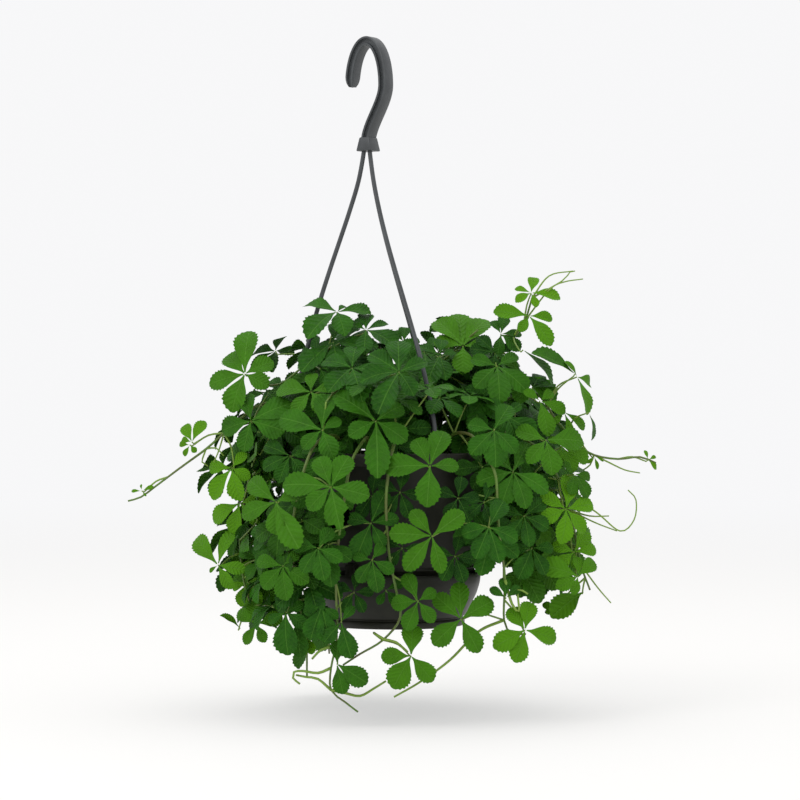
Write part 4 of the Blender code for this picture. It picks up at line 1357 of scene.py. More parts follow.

# Leaves seen in the picture: vine, x, y, depth, how far the blade faces right and up, youth, and the tips
# of its leaflets. The youth is partly painted light: it is high for the leaves at the plant's edges, which
# the light comes through from behind.
SEEN_LEAVES = [
    ("vine_04", 245, 374, -40, -0.3, 0.5, 0.5,
     ((226, 354), (208, 383), (231, 411), (268, 386), (273, 361), (248, 329))),
    ("vine_04", 283, 393, -20, -0.2, 0.9, 0.1,
     ((262, 396), (270, 379), (294, 381), (305, 398), (284, 410))),
    ("vine_04", 337, 312, -16, -0.1, 1.8, 0.2,
     ((307, 335), (304, 303), (347, 306), (371, 311), (345, 333))),
    ("vine_04", 333, 342, -30, -0.2, 1.3, 0.1, ((301, 368), (338, 322), (362, 345), (340, 374))),
    ("vine_01", 251, 421, -56, -0.3, 0.4, 0.3,
     ((221, 430), (243, 451), (284, 430), (290, 402), (246, 393))),
    ("vine_01", 232, 468, -46, -0.5, 0.3, 0.9,
     ((208, 467), (211, 499), (240, 500), (249, 478), (246, 453))),
    ("vine_01", 192, 442, -44, -0.4, 0.5, 0.9, ((184, 424), (204, 420), (181, 440))),
    ("vine_01", 190, 445, -46, -0.4, 0.3, 0.9, ((179, 444), (184, 456), (196, 452))),
    ("vine_01", 142, 491, -43, -0.4, 0.3, 1.0, ((131, 491), (141, 484), (153, 486), (146, 496))),
    ("vine_05", 322, 430, -96, -0.2, 0.5, 0.3,
     ((279, 416), (302, 448), (341, 419), (328, 392), (333, 457))),
    ("vine_05", 376, 421, -98, 0.1, 0.5, 0.3, ((335, 392), (349, 435), (378, 476), (407, 440), (403, 404))),
    ("vine_05", 311, 392, -66, -0.4, 0.9, 0.5,
     ((276, 388), (294, 414), (328, 412), (338, 388), (312, 372))),
    ("vine_05", 352, 368, -70, -0.1, 1.2, 0.1,
     ((322, 360), (328, 390), (362, 398), (386, 372), (356, 344))),
    ("vine_03", 331, 487, -124, -0.1, 0.4, 0.4,
     ((282, 484), (308, 509), (340, 528), (369, 495), (349, 455), (318, 456))),
    ("vine_03", 276, 502, -112, -0.4, 0.4, 0.5,
     ((248, 479), (240, 515), (276, 534), (297, 547), (302, 492))),
    ("vine_02", 218, 565, -6, -0.5, 0.4, 0.8, ((195, 536), (209, 572), (231, 588), (245, 570), (232, 528))),
    ("vine_02", 240, 503, 4, -0.6, 0.3, 0.9, ((211, 520), (234, 534), (258, 522), (262, 498))),
    ("vine_02", 257, 624, -8, -0.3, 0.3, 0.6, ((237, 611), (244, 644), (265, 642), (282, 617), (253, 600))),
    ("vine_02", 248, 582, 10, -0.4, 0.4, 0.9, ((232, 589), (240, 606), (259, 605), (266, 580), (246, 560))),
    ("vine_02", 256, 462, 44, -0.5, 0.6, 0.3, ((228, 450), (234, 482), (262, 494), (284, 470), (266, 436))),
    ("vine_03", 322, 606, -106, -0.1, 0.2, 0.0, ((303, 612), (310, 640), (330, 643), (338, 618))),
    ("vine_03", 286, 612, -98, -0.3, 0.2, 0.1, ((268, 622), (287, 655), (306, 626), (303, 603))),
    ("vine_03", 283, 566, -108, -0.3, 0.3, 0.4,
     ((256, 560), (262, 588), (286, 600), (308, 582), (300, 552))),
    ("vine_06", 463, 346, -2, 0.0, 0.9, 0.6,
     ((435, 318), (434, 340), (463, 372), (488, 346), (487, 317), (458, 311))),
    ("vine_06", 424, 352, 26, 0.0, 1.2, 0.1, ((398, 344), (402, 376), (430, 386), (450, 366), (440, 338))),
    ("vine_07", 531, 293, -14, 0.2, 0.8, 1.0, ((534, 276), (515, 288), (516, 301), (537, 306), (561, 297))),
    ("vine_07", 529, 316, -22, 0.2, 0.6, 0.8, ((494, 310), (520, 331), (552, 344), (553, 318))),
    ("vine_07", 521, 374, -16, 0.3, 0.6, 0.4, ((503, 356), (496, 386), (520, 402), (557, 399))),
    ("vine_07", 497, 366, -32, 0.1, 0.7, 0.3, ((471, 358), (475, 386), (500, 402), (528, 390), (518, 354))),
    ("vine_07", 476, 402, -30, 0.0, 0.7, 0.1, ((448, 392), (452, 420), (478, 436), (504, 418), (494, 384))),
    ("vine_08", 577, 377, -34, 1.5, 0.6, 0.7, ((590, 414), (566, 361), (592, 384))),
    ("vine_08", 540, 401, -44, 0.3, 0.5, 0.6, ((524, 390), (549, 435), (566, 412), (553, 391))),
    ("vine_08", 564, 412, -36, 0.6, 0.3, 0.7, ((586, 429), (571, 441), (552, 424))),
    ("vine_08", 594, 456, -32, 0.4, 0.4, 0.9, ((604, 461), (598, 469), (588, 463))),
    ("vine_08", 648, 460, -32, 0.4, 0.4, 1.0, ((645, 450), (656, 456), (657, 469))),
    ("vine_09", 513, 472, -88, 0.2, 0.5, 0.3,
     ((477, 481), (502, 503), (527, 507), (549, 491), (529, 441), (488, 448))),
    ("vine_09", 494, 430, -80, 0.1, 0.5, 0.2, ((468, 424), (471, 453), (496, 466), (516, 452), (510, 404))),
    ("vine_09", 566, 509, -70, 0.4, 0.4, 0.9,
     ((571, 473), (541, 495), (541, 520), (562, 543), (585, 533), (594, 503))),
    ("vine_09", 574, 552, -58, 0.4, 0.4, 0.9, ((552, 545), (556, 567), (575, 568), (597, 549), (588, 530))),
    ("vine_09", 578, 576, -66, 0.4, 0.3, 0.7, ((541, 564), (557, 588), (573, 594), (595, 560), (577, 556))),
    ("vine_09", 546, 440, -64, 0.3, 0.5, 0.5, ((516, 430), (528, 462), (553, 474), (584, 440))),
    ("vine_10", 432, 536, -122, 0.0, 0.2, 0.5,
     ((389, 533), (405, 570), (442, 573), (464, 512), (411, 510))),
    ("vine_10", 489, 527, -114, 0.1, 0.4, 0.0,
     ((462, 534), (476, 558), (500, 562), (518, 540), (504, 500))),
    ("vine_10", 461, 619, -104, 0.0, 0.3, 0.5,
     ((459, 581), (434, 594), (433, 644), (479, 652), (493, 600))),
    ("vine_10", 525, 630, -96, 0.2, 0.3, 0.8, ((529, 601), (509, 608), (494, 647), (516, 662), (557, 639))),
    ("vine_10", 506, 598, -100, 0.2, 0.3, 0.1, ((490, 588), (504, 577), (520, 586))),
    ("vine_11", 430, 466, -112, 0.0, 0.4, 0.4,
     ((384, 467), (427, 506), (459, 466), (444, 430), (415, 438))),
    ("vine_11", 418, 601, -110, 0.0, 0.3, 0.4,
     ((405, 573), (391, 604), (406, 630), (434, 622), (436, 590))),
    ("vine_11", 411, 656, -104, 0.0, 0.3, 0.6, ((381, 656), (393, 688), (433, 681), (413, 624))),
    ("vine_11", 372, 560, -116, 0.0, 0.3, 0.2,
     ((352, 556), (358, 582), (378, 592), (394, 572), (384, 544))),
    ("vine_12", 337, 664, -108, -0.1, 0.2, 0.3, ((367, 683), (343, 694), (338, 640))),
    ("vine_12", 341, 622, -112, -0.1, 0.2, 0.1, ((351, 658), (324, 642), (354, 606))),
    ("vine_12", 318, 548, -124, -0.2, 0.3, 0.2,
     ((292, 544), (302, 572), (324, 580), (342, 560), (332, 528))),
]

# Leaves seen in the picture behind and between the others, which only the scene has, listed in the same way;
# a youth of 0 also gives a leaf the darkest green, painted shade for the dark leaves deep in the plant.
MORE_LEAVES = [
    ("vine_05", 399, 372, -94, 0.0, 0.8, 0.1,
     ((360, 380), (369, 352), (398, 338), (427, 360), (414, 394), (378, 411))),
    ("vine_04", 366, 330, -34, -0.1, 1.3, 0.1,
     ((346, 322), (366, 313), (388, 322), (397, 345), (364, 352))),
    ("vine_05", 404, 342, -44, 0.0, 0.8, 0.1, ((392, 331), (405, 326), (420, 341), (412, 358), (392, 354))),
    ("vine_04", 320, 368, -48, -0.3, 0.7, 0.1,
     ((303, 372), (300, 352), (331, 352), (350, 372), (330, 388))),
    ("vine_03", 290, 456, -70, -0.3, 0.5, 0.1,
     ((264, 444), (262, 468), (278, 482), (304, 474), (312, 452))),
    ("vine_03", 268, 540, -64, -0.4, 0.4, 0.1,
     ((252, 528), (254, 556), (276, 560), (286, 536), (268, 520))),
    ("vine_12", 371, 523, -108, 0.0, 0.3, 0.1,
     ((346, 518), (356, 558), (384, 547), (399, 518), (386, 490))),
    ("vine_12", 328, 544, -112, -0.1, 0.3, 0.2,
     ((303, 533), (306, 571), (331, 586), (351, 560), (344, 528))),
    ("vine_07", 501, 334, -4, 0.1, 0.6, 0.2, ((492, 320), (505, 315), (522, 334), (520, 350), (498, 354))),
    ("vine_07", 495, 353, -12, 0.1, 0.5, 0.0, ((470, 348), (478, 336), (512, 346), (517, 368), (492, 374))),
    ("vine_07", 523, 350, -34, 1.4, 1.4, 0.3, ((555, 382),)),
    ("vine_08", 575, 374, -40, 1.0, 1.6, 0.3, ((534, 349),)),
    ("vine_08", 589, 413, -44, 2.7, 0.5, 0.3, ((594, 440),)),
    ("vine_09", 506, 416, -56, 0.1, 0.5, 0.1, ((521, 403), (536, 436), (518, 443), (496, 436), (488, 400))),
    ("vine_09", 562, 446, -50, 0.4, 0.5, 0.7, ((584, 440), (589, 461), (574, 472), (554, 468), (548, 438))),
    ("vine_09", 520, 568, -62, 0.2, 0.4, 0.4,
     ((506, 588), (521, 597), (541, 602), (549, 576), (533, 555), (507, 562))),
    ("vine_09", 583, 592, -46, 0.2, 0.8, 0.7, ((552, 615),)),
    ("vine_09", 557, 612, -46, 0.2, 0.5, 0.9, ((543, 603), (545, 612))),
    ("vine_09", 574, 474, -62, 0.5, 0.4, 0.4, ((591, 478), (589, 497), (571, 494), (563, 462))),
    ("vine_09", 524, 516, -84, 0.2, 0.4, 0.1, ((499, 508), (508, 538), (530, 546), (549, 528), (545, 500))),
    ("vine_10", 532, 548, -78, 0.2, 0.4, 0.1, ((508, 550), (519, 578), (546, 574), (554, 548), (536, 526))),
    ("vine_10", 484, 502, -98, 0.1, 0.4, 0.0, ((461, 498), (470, 514), (490, 522), (504, 504), (492, 482))),
    ("vine_11", 386, 590, -96, 0.0, 0.4, 0.1, ((370, 580), (378, 604), (398, 604), (404, 582))),
    ("vine_02", 262, 560, -20, -0.4, 0.4, 0.3,
     ((240, 548), (246, 578), (266, 584), (284, 566), (272, 542))),
    ("vine_03", 300, 590, -84, -0.2, 0.3, 0.1,
     ((282, 584), (288, 612), (308, 618), (322, 596), (308, 572))),
    ("vine_01", 268, 392, -30, -0.2, 1.3, 0.3,
     ((246, 398), (256, 380), (292, 384), (310, 396), (276, 404))),
    ("vine_08", 533, 388, -30, 0.3, 1.2, 0.0, ((526, 376), (541, 373), (554, 383))),
    ("vine_02", 240, 628, -8, 1.4, 1.9, 0.8, ((221, 614),)),
    ("vine_03", 297, 619, -90, -0.1, 0.2, 0.2, ((300, 657),)),
    ("vine_03", 308, 636, -86, 0.0, 0.3, 0.9, ((302, 655), (312, 654))),
    ("vine_11", 392, 446, -90, 0.0, 0.3, 0.0, ((372, 440), (380, 468), (404, 470), (414, 448), (396, 426))),
    ("vine_11", 400, 492, -98, 0.0, 0.3, 0.0, ((378, 484), (384, 514), (410, 518), (422, 496), (404, 470))),
    ("vine_11", 372, 496, -94, -0.1, 0.3, 0.0,
     ((352, 490), (358, 518), (382, 524), (392, 500), (376, 474))),
    ("vine_10", 458, 498, -98, 0.1, 0.3, 0.0, ((438, 490), (446, 518), (470, 522), (480, 498), (462, 476))),
    ("vine_10", 455, 556, -102, 0.0, 0.3, 0.0,
     ((433, 552), (442, 580), (464, 582), (476, 560), (460, 536))),
    ("vine_10", 476, 546, -92, 0.1, 0.3, 0.0, ((456, 540), (462, 566), (486, 568), (496, 546), (480, 526))),
    ("vine_12", 354, 592, -98, 0.0, 0.3, 0.0, ((336, 586), (342, 612), (364, 612), (374, 592), (358, 572))),
    ("vine_11", 402, 548, -100, 0.0, 0.3, 0.0,
     ((384, 540), (388, 566), (412, 572), (422, 550), (406, 530))),
    ("vine_06", 440, 356, -18, 0.0, 1.0, 0.1, ((418, 346), (442, 338), (456, 352), (446, 378), (426, 384))),
]

# The outline of the picture's foliage, in px, which the leaves of the scene's own rule keep within
MASS = [
    (262, 372), (282, 379), (296, 379), (300, 350), (304, 318), (322, 305), (345, 311), (372, 312),
    (388, 322), (395, 328), (412, 330), (420, 340), (440, 342), (436, 318), (450, 312), (488, 318),
    (495, 330), (510, 330), (520, 340), (517, 362), (520, 374), (545, 374), (556, 398), (563, 405),
    (563, 428), (580, 440), (588, 455), (588, 480), (592, 500), (588, 520), (596, 540), (596, 555),
    (585, 560), (592, 575), (560, 588), (548, 585), (540, 602), (530, 600), (522, 590), (510, 588),
    (508, 572), (500, 565), (490, 566), (482, 574), (478, 600), (465, 622), (340, 628), (330, 645),
    (305, 645), (302, 655), (285, 652), (276, 625), (262, 622), (262, 640), (245, 643), (236, 625),
    (238, 608), (248, 600), (232, 600), (240, 582), (232, 588), (222, 585), (217, 560), (218, 540),
    (228, 526), (238, 515), (232, 500), (212, 500), (208, 470), (225, 455), (232, 435), (222, 430),
    (232, 418), (226, 405), (232, 395), (240, 380),
]

# The outline, in px, of the places that these leaves may spring from, and the dark gap in it that looks
# into the plant
CANOPY = [
    (318, 345), (345, 332), (395, 350), (430, 356), (455, 335), (490, 345), (512, 368), (532, 400),
    (552, 425), (562, 450), (567, 490), (568, 530), (560, 560), (530, 578), (500, 560), (482, 520),
    (484, 480), (340, 470), (322, 500), (322, 560), (318, 600), (285, 622), (262, 606), (240, 585),
    (235, 545), (240, 505), (238, 475), (258, 445), (245, 418), (262, 402), (300, 392),
]
DARK_GAP = ((398, 384), (452, 430))

# How wide the leaflets of some of the solids' leaves are, by the leaf's x and y, where 1 is the usual
WIDTHS = {
    (432, 536): 0.85, (331, 487): 1.15, (376, 421): 1.2, (430, 466): 1.05, (218, 565): 0.75,
    (245, 374): 1.15, (461, 619): 1.0, (418, 601): 1.0, (525, 630): 1.15, (577, 377): 0.9,
    (564, 412): 0.7, (594, 456): 0.6, (648, 460): 0.8, (142, 491): 0.6, (322, 430): 1.15,
    (352, 368): 1.15, (251, 421): 1.15, (561, 509): 1.15, (411, 656): 1.15, (337, 664): 1.1,
    (337, 312): 1.1, (529, 316): 0.95, (463, 346): 1.1,
}

# Tendrils seen in the picture: vine and way
SEEN_TENDRILS = [
    ("vine_07", [(526, 318, -9), (549, 290, -12), (564, 282, -12), (583, 279, -12)]),
    ("vine_07", [(530, 304, -11), (549, 276, -12), (573, 271, -12)]),
    ("vine_09", [(584, 575, -46), (598, 588, -46), (611, 603, -46)]),
    ("vine_09", [(566, 498, -54), (596, 512, -60), (620, 531, -62), (634, 520, -62), (636, 500, -62),
                 (628, 490, -62)]),
    ("vine_10", [(504, 620, -92), (478, 632, -92), (450, 660, -92), (420, 682, -92), (394, 697, -92)]),
    ("vine_12", [(336, 645, -102), (321, 650, -100), (312, 659, -98)]),
]

# How thick a tendril is, and the side shoots of the lowest vines
TENDRIL_R = 0.8 * MM
SHOOT_R = {"vine_10": 1.3 * MM, "vine_11": 1.2 * MM, "vine_12": 1.3 * MM}

# Thin tendrils, stalks and side shoots that only the scene has, listed in the same way
MORE_TENDRILS = [
    ("vine_12", [(331, 690, -102), (345, 693, -101), (360, 696, -100), (373, 689, -100), (386, 681, -100)]),
    ("vine_12", [(331, 672, -102), (318, 673, -101), (303, 671, -100), (294, 672, -100), (293, 678, -100),
                 (300, 684, -100)]),
    ("vine_12", [(331, 683, -102), (318, 679, -100), (306, 677, -98), (296, 675, -96)]),
    ("vine_11", [(366, 622, -98), (374, 633, -98), (384, 639, -98), (396, 642, -100), (408, 652, -102)]),
    ("vine_10", [(505, 598, -96), (512, 604, -96), (519, 611, -96), (518, 590, -96), (528, 594, -96)]),
    ("vine_01", [(224, 433, -40), (219, 450, -42), (214, 462, -42)]),
    ("vine_01", [(206, 449, -42), (216, 448, -42), (224, 456, -42)]),
    ("vine_01", [(194, 458, -42), (202, 462, -42), (208, 466, -42)]),
    ("vine_08", [(594, 455, -30), (590, 465, -30), (583, 470, -30)]),
    ("vine_08", [(596, 456, -30), (610, 463, -30), (625, 470, -30), (640, 473, -30)]),
    ("vine_09", [(574, 516, -54), (590, 516, -58), (609, 516, -58)]),
    ("vine_09", [(572, 514, -54), (596, 523, -58), (617, 531, -58)]),
    ("vine_07", [(549, 289, -12), (562, 281, -12), (570, 272, -12), (575, 271, -12)]),
]


class PictureLeaf(NamedTuple):
    """A row of the two lists of leaves: pixels, depth in mm, facing, youth and the pixels of the tips."""

    vine: str
    x: float
    y: float
    depth: float
    right: float
    up: float
    youth: float
    tips: tuple[tuple[float, float], ...]


class Blade(NamedTuple):
    """One leaf's blade: where its leaflets meet, its facing and their tips."""

    junction: Vector
    normal: Vector
    tips: list[Vector]


class Grown(NamedTuple):
    """One leaf of a vine: blade, stalk, youth (partly painted light from behind), shade (painted shade with
    random tone), whether it is finely modelled, and its width.
    """

    blade: Blade
    stalk: list[Vector]
    youth: float
    shade: float = 0.5
    fine: bool = True
    wide: float = 1.0


def away(point: Vector, a: Vector, b: Vector, reach: float) -> Vector:
    """A push that moves a point off a line, where it is nearer than the reach.

    Args:
        point: The point.
        a: The line's one end.
        b: Its other end.
        reach: The reach.

    Returns:
        The push.
    """
    line = b - a
    t = max(0.0, min(1.0, (point - a).dot(line) / line.length_squared))
    apart = point - (a + line * t)
    if apart.length >= reach:
        return Vector()
    return apart.normalized() * (reach - apart.length)


@dataclass
class Growth:
    """Where every stem and leaf of the solids is: the same rule as theirs, read against the CAD nodes.

    A leaflet of the solids droops by a share of its length, and a leaf is matched within a distance.
    """

    droop: float = 0.10
    match: float = 2 * MM
    routes: dict[str, list[Vector]] = field(default_factory=dict)
    leaves: dict[str, list[Grown]] = field(default_factory=dict)

    @staticmethod
    def vines() -> list[tuple[str, list[Vector]]]:
        """Where the vines would run if the stems made no room for each other.

        Returns:
            Each vine's name and way.
        """
        vines = []
        for name, root, way in SEEN_VINES:
            start = AXIS + Vector((root[0] * MM, root[1] * MM, SOIL_Z))
            vines.append((name, [start, *(seen(x, y, depth * MM) for x, y, depth in way)]))
        rng = random.Random(11)
        for name, azimuth, height, reach, hang in BACK_VINES:
            start = AXIS + polar(rng.uniform(34, 50) * MM, azimuth + rng.uniform(-8, 8), SOIL_Z)
            points = [
                AXIS + polar(62 * MM, azimuth, RIM_Z + 0.8 * height * MM),
                AXIS + polar(0.8 * reach * MM, azimuth + rng.uniform(-5, 5), RIM_Z + height * MM),
                AXIS + polar(reach * MM, azimuth + rng.uniform(-7, 7), RIM_Z + 0.35 * height * MM),
            ]
            count = max(0, round(hang / 45))
            for k in range(1, count + 1):
                r = (reach + rng.uniform(-6, 6)) * MM
                z = RIM_Z - hang * k / count * MM
                points.append(AXIS + polar(r, azimuth + rng.uniform(-11, 11), z))
            vines.append((name, [start, *points]))
        return vines

    def route_stems(self, strands: list[list[Vector]]) -> None:
        """The stems' routes, pushed clear of each other, of the strands and of the pot's rim.

        Args:
            strands: The strands' middle lines.
        """
        for name, way in self.vines():
            root = way[0]
            route = smooth_route([root + Vector((0, 0, 6 * MM)), *way[1:]], STEM_STEP)
            self.routes[name] = [root - Vector((0, 0, STEM_START)), *route]
        for _ in range(ROOM_PASSES):
            for name, route in self.routes.items():
                for k in range(2, len(route)):
                    route[k] = route[k] + self.push(name, route[k], strands) * 0.5

    def push(self, name: str, point: Vector, strands: list[list[Vector]]) -> Vector:
        """How a stem's point is pushed off the other stems, the strands and the pot.

        Args:
            name: The stem's vine.
            point: The point.
            strands: The strands' middle lines.

        Returns:
            The whole push.
        """
        push = Vector()
        for other, route in self.routes.items():
            if other != name:
                for a, b in zip(route, route[1:]):
                    push += away(point, a, b, STEM_ROOM)
        for strand in strands:
            for a, b in zip(strand, strand[1:]):
                push += away(point, a, b, STRAND_ROOM)
        flat = Vector((point.x - AXIS.x, point.y, 0))
        if RIM_Z - POT_H < point.z < RIM_Z + 7 * MM and 60 * MM < flat.length < 95 * MM:
            if flat.length > 80 * MM or point.z < RIM_Z - 14 * MM:
                push += flat.normalized() * 2 * MM
            else:
                push += Vector((0, 0, 2 * MM))
        return push

    @staticmethod
    def leaf_seen(leaf: PictureLeaf, shift: float = 0) -> Blade:
        """A leaf of the picture, shifted in depth; its outline in the picture stays.

        Args:
            leaf: The leaf's row.
            shift: Millimetres further back.

        Returns:
            The blade.
        """
        depth = (leaf.depth + shift) * MM
        junction = seen(leaf.x, leaf.y, depth)
        normal = Vector((leaf.right, -1, leaf.up)).normalized()
        placed = []
        for tip_x, tip_y in leaf.tips:
            flat = seen(tip_x, tip_y, depth) - junction
            lean = -(flat.x * normal.x + flat.z * normal.z) / normal.y
            most = 1.2 * flat.length
            placed.append(seen(tip_x, tip_y, depth + max(-most, min(most, lean))))
        return Blade(junction, normal, placed)

    @staticmethod
    def leaf_by_rule(stem: list[Vector], along: float, rng: random.Random) -> Blade:
        """A leaf on one of the vines at the sides and back.

        Args:
            stem: The stem's route.
            along: How many of its points along it.
            rng: The seeded source of its variety.

        Returns:
            The blade.
        """
        k = min(int(along), len(stem) - 2)
        node = stem[k].lerp(stem[k + 1], along - k)
        out = Vector((node.x - AXIS.x, node.y, 0)).normalized()
        side = Vector((-out.y, out.x, 0)) * (1 if int(along * 2) % 2 else -1)
        high = node.z > RIM_Z + 10 * MM
        normal = (
            out * rng.uniform(0.7, 1.1)
            + Vector((0, 0, rng.uniform(0.5, 1.3 if high else 0.7)))
            + side * rng.uniform(-0.3, 0.5)
        ).normalized()
        junction = node + out * rng.uniform(10, 24) * MM + side * rng.uniform(8, 22) * MM
        junction += Vector((0, 0, rng.uniform(4, 16) * MM))
        pointing = out * 0.5 + side * rng.uniform(0.2, 0.7) - Vector((0, 0, 0.9))
        pointing = (pointing - normal * pointing.dot(normal)).normalized()
        size = rng.uniform(27, 36) * MM
        tips = []
        for angle, share in zip(LEAFLET_ANGLES, LEAFLET_SHARES):
            turn = Matrix.Rotation(radians(angle + rng.uniform(-8, 8)), 3, normal)
            tips.append(junction + (turn @ pointing) * size * share * rng.uniform(0.9, 1.08))
        return Blade(junction, normal, tips)

    def stalks(self, name: str, blade: Blade) -> Iterator[list[Vector]]:
        """The ways that a leaf's stalk could take.

        Args:
            name: The leaf's vine.
            blade: Its blade.

        Yields:
            A way from the blade to the stem, the likeliest first.
        """
        stem = self.routes[name]
        order = []
        for k in range(2, len(stem)):
            for t in (0.0, 0.5):
                if k + t > len(stem) - 1:
                    continue
                point = stem[k].lerp(stem[min(k + 1, len(stem) - 1)], t)
                arm = point - blade.junction
                if arm.dot(blade.normal) > 0.25 * arm.length:
                    continue
                low = 5 * MM if arm.z < -10 * MM else 0
                order.append((abs(arm.length - 26 * MM) + low, k, t, point))
        order.sort(key=lambda entry: entry[:3])
        leave = blade.junction - blade.normal * 3.5 * MM
        for *_, start in order[:9]:
            reach = (start - leave).length
            for bow in (1.0, 0.2, 2.0):
                lift = (Vector((0, 0, 0.16)) - blade.normal * 0.10) * reach * bow
                yield [leave, leave.lerp(start, 0.45) + lift, start]

    @staticmethod
    def tree_of(node: str) -> KDTree:
        """A CAD node's points, to look up which place of a leaf the solids have.

        Args:
            node: The node's name.

        Returns:
            Its points in a tree.
        """
        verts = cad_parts[node].data.vertices
        tree = KDTree(len(verts))
        for vertex in verts:
            tree.insert(vertex.co, vertex.index)
        tree.balance()
        return tree

    def settle_leaf(
        self, name: str, tree: KDTree, blades: Sequence[Blade], youth: float, wide: float = 1.0
    ) -> None:
        """Takes the blade and the stalk that the CAD node has.

        Args:
            name: The vine.
            tree: Its CAD points.
            blades: The places the leaf may have.
            youth: How young it is.
            wide: How wide its leaflets are.
        """

        def miss(points: Sequence[Vector]) -> float:
            """How far two in three of these points are from the node's, all together."""
            far = sorted(tree.find(point)[2] for point in points)
            return sum(far[: max(1, len(far) * 2 // 3)])

        droops = []
        for junction, normal, tips in blades:
            droops.append([tip - normal * (tip - junction).length * self.droop for tip in tips])
        best = min(range(len(blades)), key=lambda k: miss(droops[k]))
        if miss(droops[best]) > self.match:
            log.info("%s: a leaf of the rule found no room in the solids, and stays out here too", name)
            return
        blade = blades[best]
        stalk = min(self.stalks(name, blade), key=lambda way: max(0.0, tree.find(way[1])[2] - PETIOLE_R))
        # Painted light in part: the green is lighter with youth, which is young growth and also the light
        # through the leaves at the plant's edges
        self.leaves[name].append(Grown(blade, stalk, youth, 0.4 + 0.4 * youth, True, wide))

    def settle_leaves(self) -> None:
        """Every leaf of the solids, at its place there."""
        trees = {name: self.tree_of(name) for name in self.routes}
        self.leaves = {name: [] for name in self.routes}
        for leaf in map(PictureLeaf._make, SEEN_LEAVES):
            blades = [self.leaf_seen(leaf, shift) for shift in SHIFTS]
            wide = WIDTHS.get((leaf.x, leaf.y), 1.0)
            self.settle_leaf(leaf.vine, trees[leaf.vine], blades, leaf.youth, wide)
        rng = random.Random(5)
        youths = random.Random(6)
        for name, *_ in BACK_VINES:
            stem = self.routes[name]
            along = 3.0
            while along < len(stem) - 0.6:
                blades = [self.leaf_by_rule(stem, min(along, len(stem) - 1.01), rng) for _ in range(TRIES)]
                self.settle_leaf(name, trees[name], blades, youths.uniform(0.1, 0.7))
                along += LEAF_EVERY


def inside(point: tuple[float, float], outline: Sequence[tuple[float, float]]) -> bool:
    """Whether a point of the picture lies in a closed outline.

    Args:
        point: The point, in px.
        outline: The outline's corners, in px.

    Returns:
        True where it does.
    """
    x, y = point
    within = False
    for (x1, y1), (x2, y2) in zip(outline, [*outline[1:], outline[0]]):
        if (y1 > y) != (y2 > y) and x < x1 + (y - y1) / (y2 - y1) * (x2 - x1):
            within = not within
    return within


